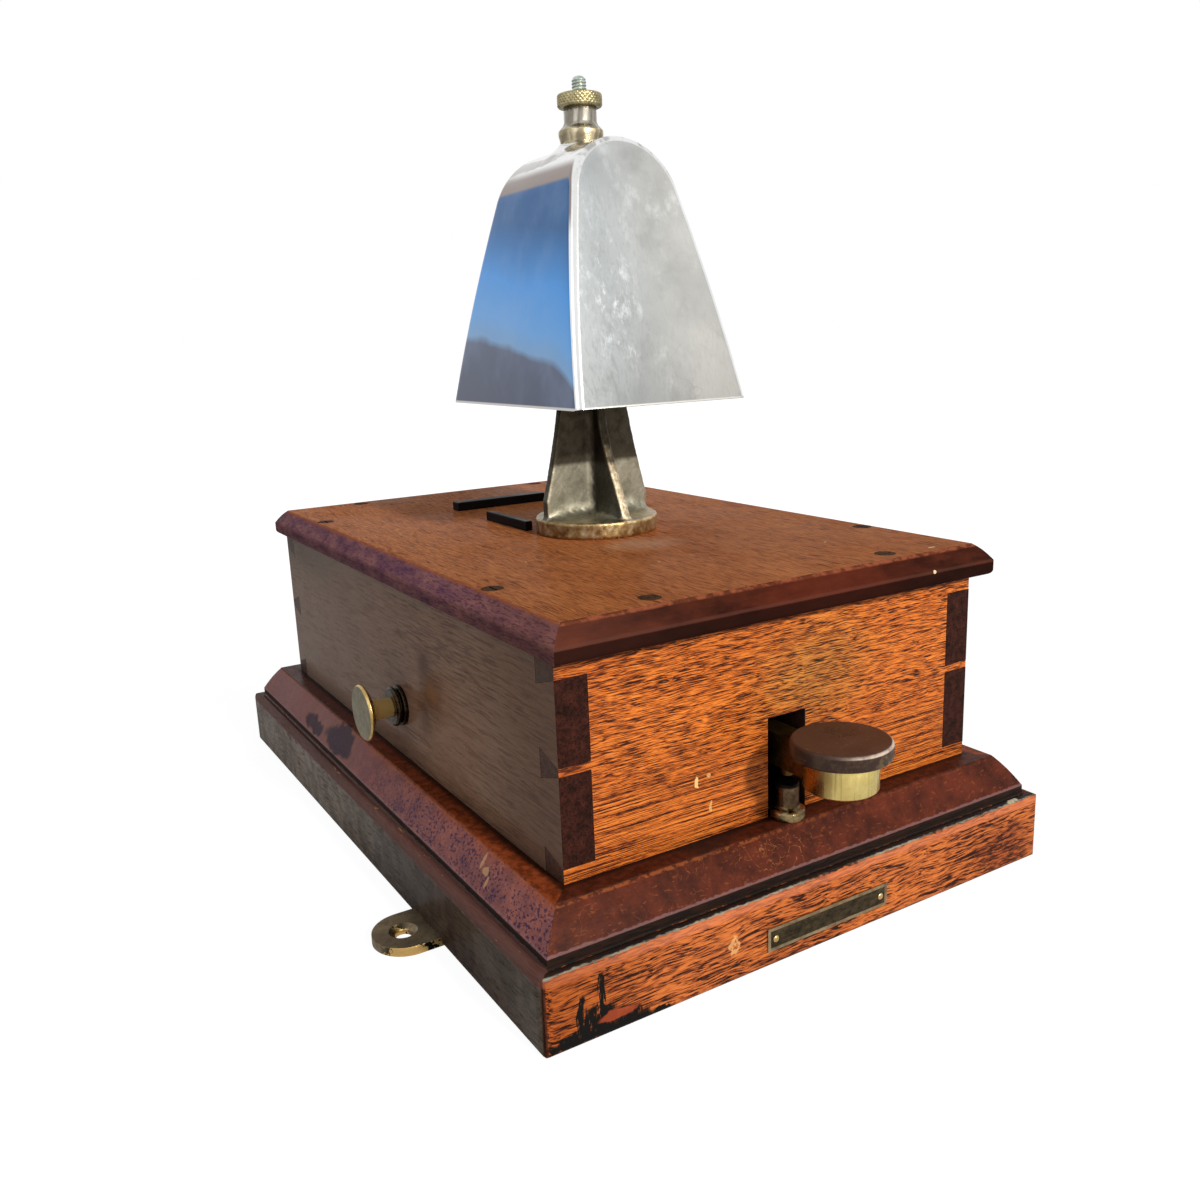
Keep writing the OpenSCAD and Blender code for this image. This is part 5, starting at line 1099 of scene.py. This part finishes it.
# The pillar
def surface_nets(f, origin, h):
    """Vertices and quads of the zero surface of a sampled field, negative inside."""
    inside = f < 0
    n = [s - 1 for s in f.shape]
    total = np.zeros((*n, 3))
    count = np.zeros(n)
    for a in range(3):
        o1, o2 = [k for k in range(3) if k != a]
        for i in (0, 1):
            for j in (0, 1):
                low = [slice(None)] * 3
                high = [slice(None)] * 3
                for k, off in ((o1, i), (o2, j)):
                    low[k] = high[k] = slice(off, off + n[k])
                low[a], high[a] = slice(0, n[a]), slice(1, n[a] + 1)
                v0, v1 = f[tuple(low)], f[tuple(high)]
                cut = inside[tuple(low)] != inside[tuple(high)]
                t = np.where(cut, v0 / np.where(cut, v0 - v1, 1), 0)
                total[..., a] += t
                total[..., o1] += cut * i
                total[..., o2] += cut * j
                count += cut
    used = count > 0
    index = np.full(n, -1)
    index[used] = np.arange(used.sum())
    cells = np.argwhere(used)
    verts = np.array(origin) + h * (cells + total[used] / count[used][:, None])
    faces = []
    for a in range(3):
        o1, o2 = (a + 1) % 3, (a + 2) % 3
        low = [slice(1, None)] * 3
        high = [slice(1, None)] * 3
        low[a], high[a] = slice(0, -1), slice(1, None)
        g0, g1 = inside[tuple(low)], inside[tuple(high)]
        p = np.argwhere(g0 != g1)
        flip = g0[tuple(p.T)]
        base = p + 1
        base[:, a] -= 1
        quad = []
        for d1, d2 in ((0, 0), (1, 0), (1, 1), (0, 1)):
            c = base.copy()
            c[:, o1] -= d1
            c[:, o2] -= d2
            ok = (c < np.array(n)).all(axis=1) & (c >= 0).all(axis=1)
            c = np.where(ok[:, None], c, 0)
            quad.append(np.where(ok, index[tuple(c.T)], -1))
        quad = np.stack(quad, 1)
        good = (quad >= 0).all(axis=1)
        quad, flip = quad[good], flip[good]
        quad[~flip] = quad[~flip][:, ::-1]
        faces.append(quad)
    return verts, np.concatenate(faces)


def soft_min(a, b, k):
    """The lesser of two fields with a fillet of about k where they meet."""
    m = np.clip(0.5 + 0.5 * (b - a) / k, 0, 1)
    return b + (a - b) * m - k * m * (1 - m)


def pillar():
    """The casting as one smooth body: foot, cross web, gussets and neck with soft fillets."""
    (x0, y0, z0), (x1, y1, z1) = box_mm("bell_pillar")
    cx, cy = (x0 + x1) / 2, (y0 + y1) / 2
    foot_r, foot_t = (x1 - x0) / 2, 7.6
    h = 0.62
    pad = 2
    side = int(2 * foot_r / h) + 2 * pad
    tall = int((z1 - z0) / h) + 2 * pad
    origin = (-foot_r - pad * h, -foot_r - pad * h, z0 - pad * h)
    ax = origin[0] + h * np.arange(side + 2)
    az = origin[2] + h * np.arange(tall + 2)
    X, Y, Z = np.meshgrid(ax, ax, az, indexing="ij")
    r = np.hypot(X, Y)
    top = z0 + foot_t
    web_z = [z0, top + 1.6, top + 8.2, top + 17, top + 27.5, top + 39, top + 51.9, z1 - 10, z1]
    web_x = [26.2, 26.8, 26.8, 24.4, 21.9, 19.35, 17.0, 9.2, 9.2]
    rib_y = [26.2, 26.2, 23.2, 19.0, 13.6, 9.9, 7.6, 4.6, 4.6]
    reach_x = np.interp(az, web_z, web_x)[None, None, :]
    reach_y = np.interp(az, web_z, rib_y)[None, None, :]
    half = 2.3

    def bar(u, v, reach, soft):
        qx, qy = np.abs(u) - reach + soft, np.abs(v) - half + soft
        return np.hypot(np.maximum(qx, 0), np.maximum(qy, 0)) + np.minimum(np.maximum(qx, qy), 0) - soft

    web = bar(X, Y, reach_x, 1.1)
    rib = bar(Y, X, reach_y, 1.0)
    body = soft_min(web, rib, 3.2)
    neck = r - np.interp(az, [z0, z1 - 34, z1 - 26, z1 - 12, z1 - 7, z1], [3.4, 3.4, 5, 5, 9.5, 9.5])
    body = soft_min(body, neck, 3)
    q1, q2 = r - foot_r + 1.1, np.abs(Z - (z0 + foot_t / 2 - 2)) - foot_t / 2 - 2 + 1.1
    foot = np.hypot(np.maximum(q1, 0), np.maximum(q2, 0)) + np.minimum(np.maximum(q1, q2), 0) - 1.1
    field = soft_min(body, foot, 7.5 - 5.5 * np.clip((r - 19) / 8, 0, 1))
    for limit in (z0 - Z, Z - z1, r - foot_r):
        field = np.maximum(field, limit)
    # the sand casting's slow waves
    wave = (np.sin(X * 0.9 + 1) * np.sin(Y * 0.8 + 2) * np.sin(Z * 0.5 + 3)
            + 0.6 * np.sin(X * 1.9 + 4) * np.sin(Z * 1.4) * np.sin(Y * 1.7 + 1))
    field = field + 0.13 * (wave + 0.6) * (Z > z0 + 0.5) * (Z < z1 - 1)
    verts, quads = surface_nets(field, origin, h)
    verts[:, 2] = np.clip(verts[:, 2], z0, z1)
    verts = (verts + np.array([cx, cy, 0])) * mm
    mesh_obj("pillar_casting", verts.tolist(), quads.tolist(), "cast", "bell_pillar")


# Nut and stud
def round_box(node):
    """The foot of a turned CAD node's axis, its radius and its height, in mm."""
    (x0, y0, z0), (x1, y1, z1) = box_mm(node)
    return ((x0 + x1) / 2, (y0 + y1) / 2, z0), (x1 - x0) / 2, z1 - z0


def circle(segs):
    return [2 * math.pi * i / segs for i in range(segs)]


def knurled_nut():
    """The nut with its crossed knurl: rounded ends, and end faces down to the stud."""
    axis, radius, tall = round_box("knurled_nut")
    segs, rows, teeth, depth, ease = 192, 28, 34, 0.42, 1.15
    verts = []
    for j in range(rows + 1):
        z = tall * j / rows
        over = max(0.0, ease - z, z - tall + ease)
        drop = ease - math.sqrt(max(0, ease * ease - over ** 2))
        fade = max(0.0, 1 - drop / 0.8)
        for a in circle(segs):
            twist = z / radius * 0.9
            cuts = [depth * abs(teeth * t / (2 * math.pi) % 1 - 0.5) * 2 for t in (a + twist, a - twist)]
            verts.append(turned(axis, radius - drop - max(cuts) * fade, a, z))
    faces = ring_quads(rows, segs)
    for j, up in ((0, False), (rows, True)):
        starts = [j * segs]
        for r, sink in ((7.6, 0.25), (6.9, 0.0), (3.3, 0.25)):
            starts.append(len(verts))
            verts += [turned(axis, r, a, tall * j / rows - sink * up) for a in circle(segs)]
        for one, two in zip(starts, starts[1:]):
            for i in range(segs):
                k = (i + 1) % segs
                f = (one + i, one + k, two + k, two + i)
                faces.append(f if up else f[::-1])
    mesh_obj("knurled_clamp_nut", verts, faces, "nut", "knurled_nut", 50)


def stud():
    """The stud with its domed end, threaded where it stands clear of the pillar."""
    axis, radius, tall = round_box("bell_stud")
    segs, pitch, depth, dome_h, thread_from = 48, 1.27, 0.42, 2.2, 20
    rows = int(tall / 0.12)
    verts = []
    for j in range(rows + 1):
        z = tall * j / rows
        t = max(0.0, (z - (tall - dome_h)) / dome_h)
        dome = radius * (1 - math.sqrt(max(0.0, 1 - 0.86 * t * t)))
        for a in circle(segs):
            thread = depth * abs((z / pitch - a / (2 * math.pi)) % 1 - 0.5) * 2 if z > thread_from else 0
            verts.append(turned(axis, max(0.2, radius - thread * (1 - min(1, dome / 1.2)) - dome), a, z))
    faces = ring_quads(rows, segs)
    faces.append(list(range(segs))[::-1])
    faces.append([rows * segs + i for i in range(segs)])
    mesh_obj("threaded_stud", verts, faces, "stud", "bell_stud", 45)


# Studio
def white_world():
    """White where the camera sees it, straight or mirrored, and a soft even light for all else."""
    world = bpy.data.worlds.new("studio")
    bpy.context.scene.world = world
    node = Graph(world).node
    seen = node("ShaderNodeBackground", WHITE)
    soft = node("ShaderNodeBackground", SKY, WORLD_LEVEL)
    ray = node("ShaderNodeLightPath")
    sharp = node("ShaderNodeMath", ray["Is Camera Ray"], ray["Is Glossy Ray"], operation="MAXIMUM")
    sharp = node("ShaderNodeMath", sharp[0], ray["Is Transmission Ray"], operation="MAXIMUM")
    node("ShaderNodeOutputWorld", node("ShaderNodeMixShader", sharp[0], soft[0], seen[0])[0])


def lamp(name, place, size, power, colour):
    """A round soft light that looks at the case."""
    d = bpy.data.lights.new(name, "AREA")
    d.shape = "DISK"
    d.size = size
    d.energy = power
    d.color = colour
    o = bpy.data.objects.new(name, d)
    bpy.context.scene.collection.objects.link(o)
    o.location = place
    o.rotation_euler = (LAMP_AIM - Vector(place)).to_track_quat("-Z", "Y").to_euler()


def pale_floor():
    """A floor that keeps the shadow near the object and grows into the white background."""
    me = bpy.data.meshes.new("floor")
    corners = ((-1, -1), (1, -1), (1, 1), (-1, 1))
    me.from_pydata([(FLOOR_HALF * x, FLOOR_HALF * y, FLOOR_Z) for x, y in corners], [], [(0, 1, 2, 3)])
    floor = bpy.data.objects.new("floor", me)
    bpy.context.scene.collection.objects.link(floor)
    white = bpy.data.materials.new("floor_white")
    node = Graph(white).node
    matt = node("ShaderNodeBsdfDiffuse", (*[FLOOR_GREY] * 3, 1))
    glow = node("ShaderNodeEmission", WHITE, FLOOR_GLOW)
    far = node("ShaderNodeVectorMath", node("ShaderNodeTexCoord")["Object"], operation="LENGTH")
    level = node("ShaderNodeMapRange", far["Value"], *FADE_FROM_TO, FLOOR_WHITE, 1.0,
                 interpolation_type="SMOOTHSTEP")
    ray = node("ShaderNodeLightPath")
    seen = node("ShaderNodeMath", ray["Is Camera Ray"], level[0], operation="MULTIPLY")
    node("ShaderNodeOutputMaterial", node("ShaderNodeMixShader", seen[0], matt[0], glow[0])[0])
    me.materials.append(white)


# Build
camera()
MATS = build_materials()
for key, names in FINISHES.items():
    for name in names.split():
        give(NODES[name], key)
for names, width, segments, angle in ARRISES:
    for name in names.split():
        soften(name, width, segments, angle)
gong()
pillar()
knurled_nut()
stud()
bpy.context.scene.view_settings.view_transform = "Standard"
white_world()
lamp("key", (0.085, -1.70, 0.92), 0.16, KEY_POWER, (1.0, 0.95, 0.87))
lamp("fill", (-1.5, -0.5, 0.9), 1.2, 2.2, (0.86, 0.92, 1.0))
pale_floor()
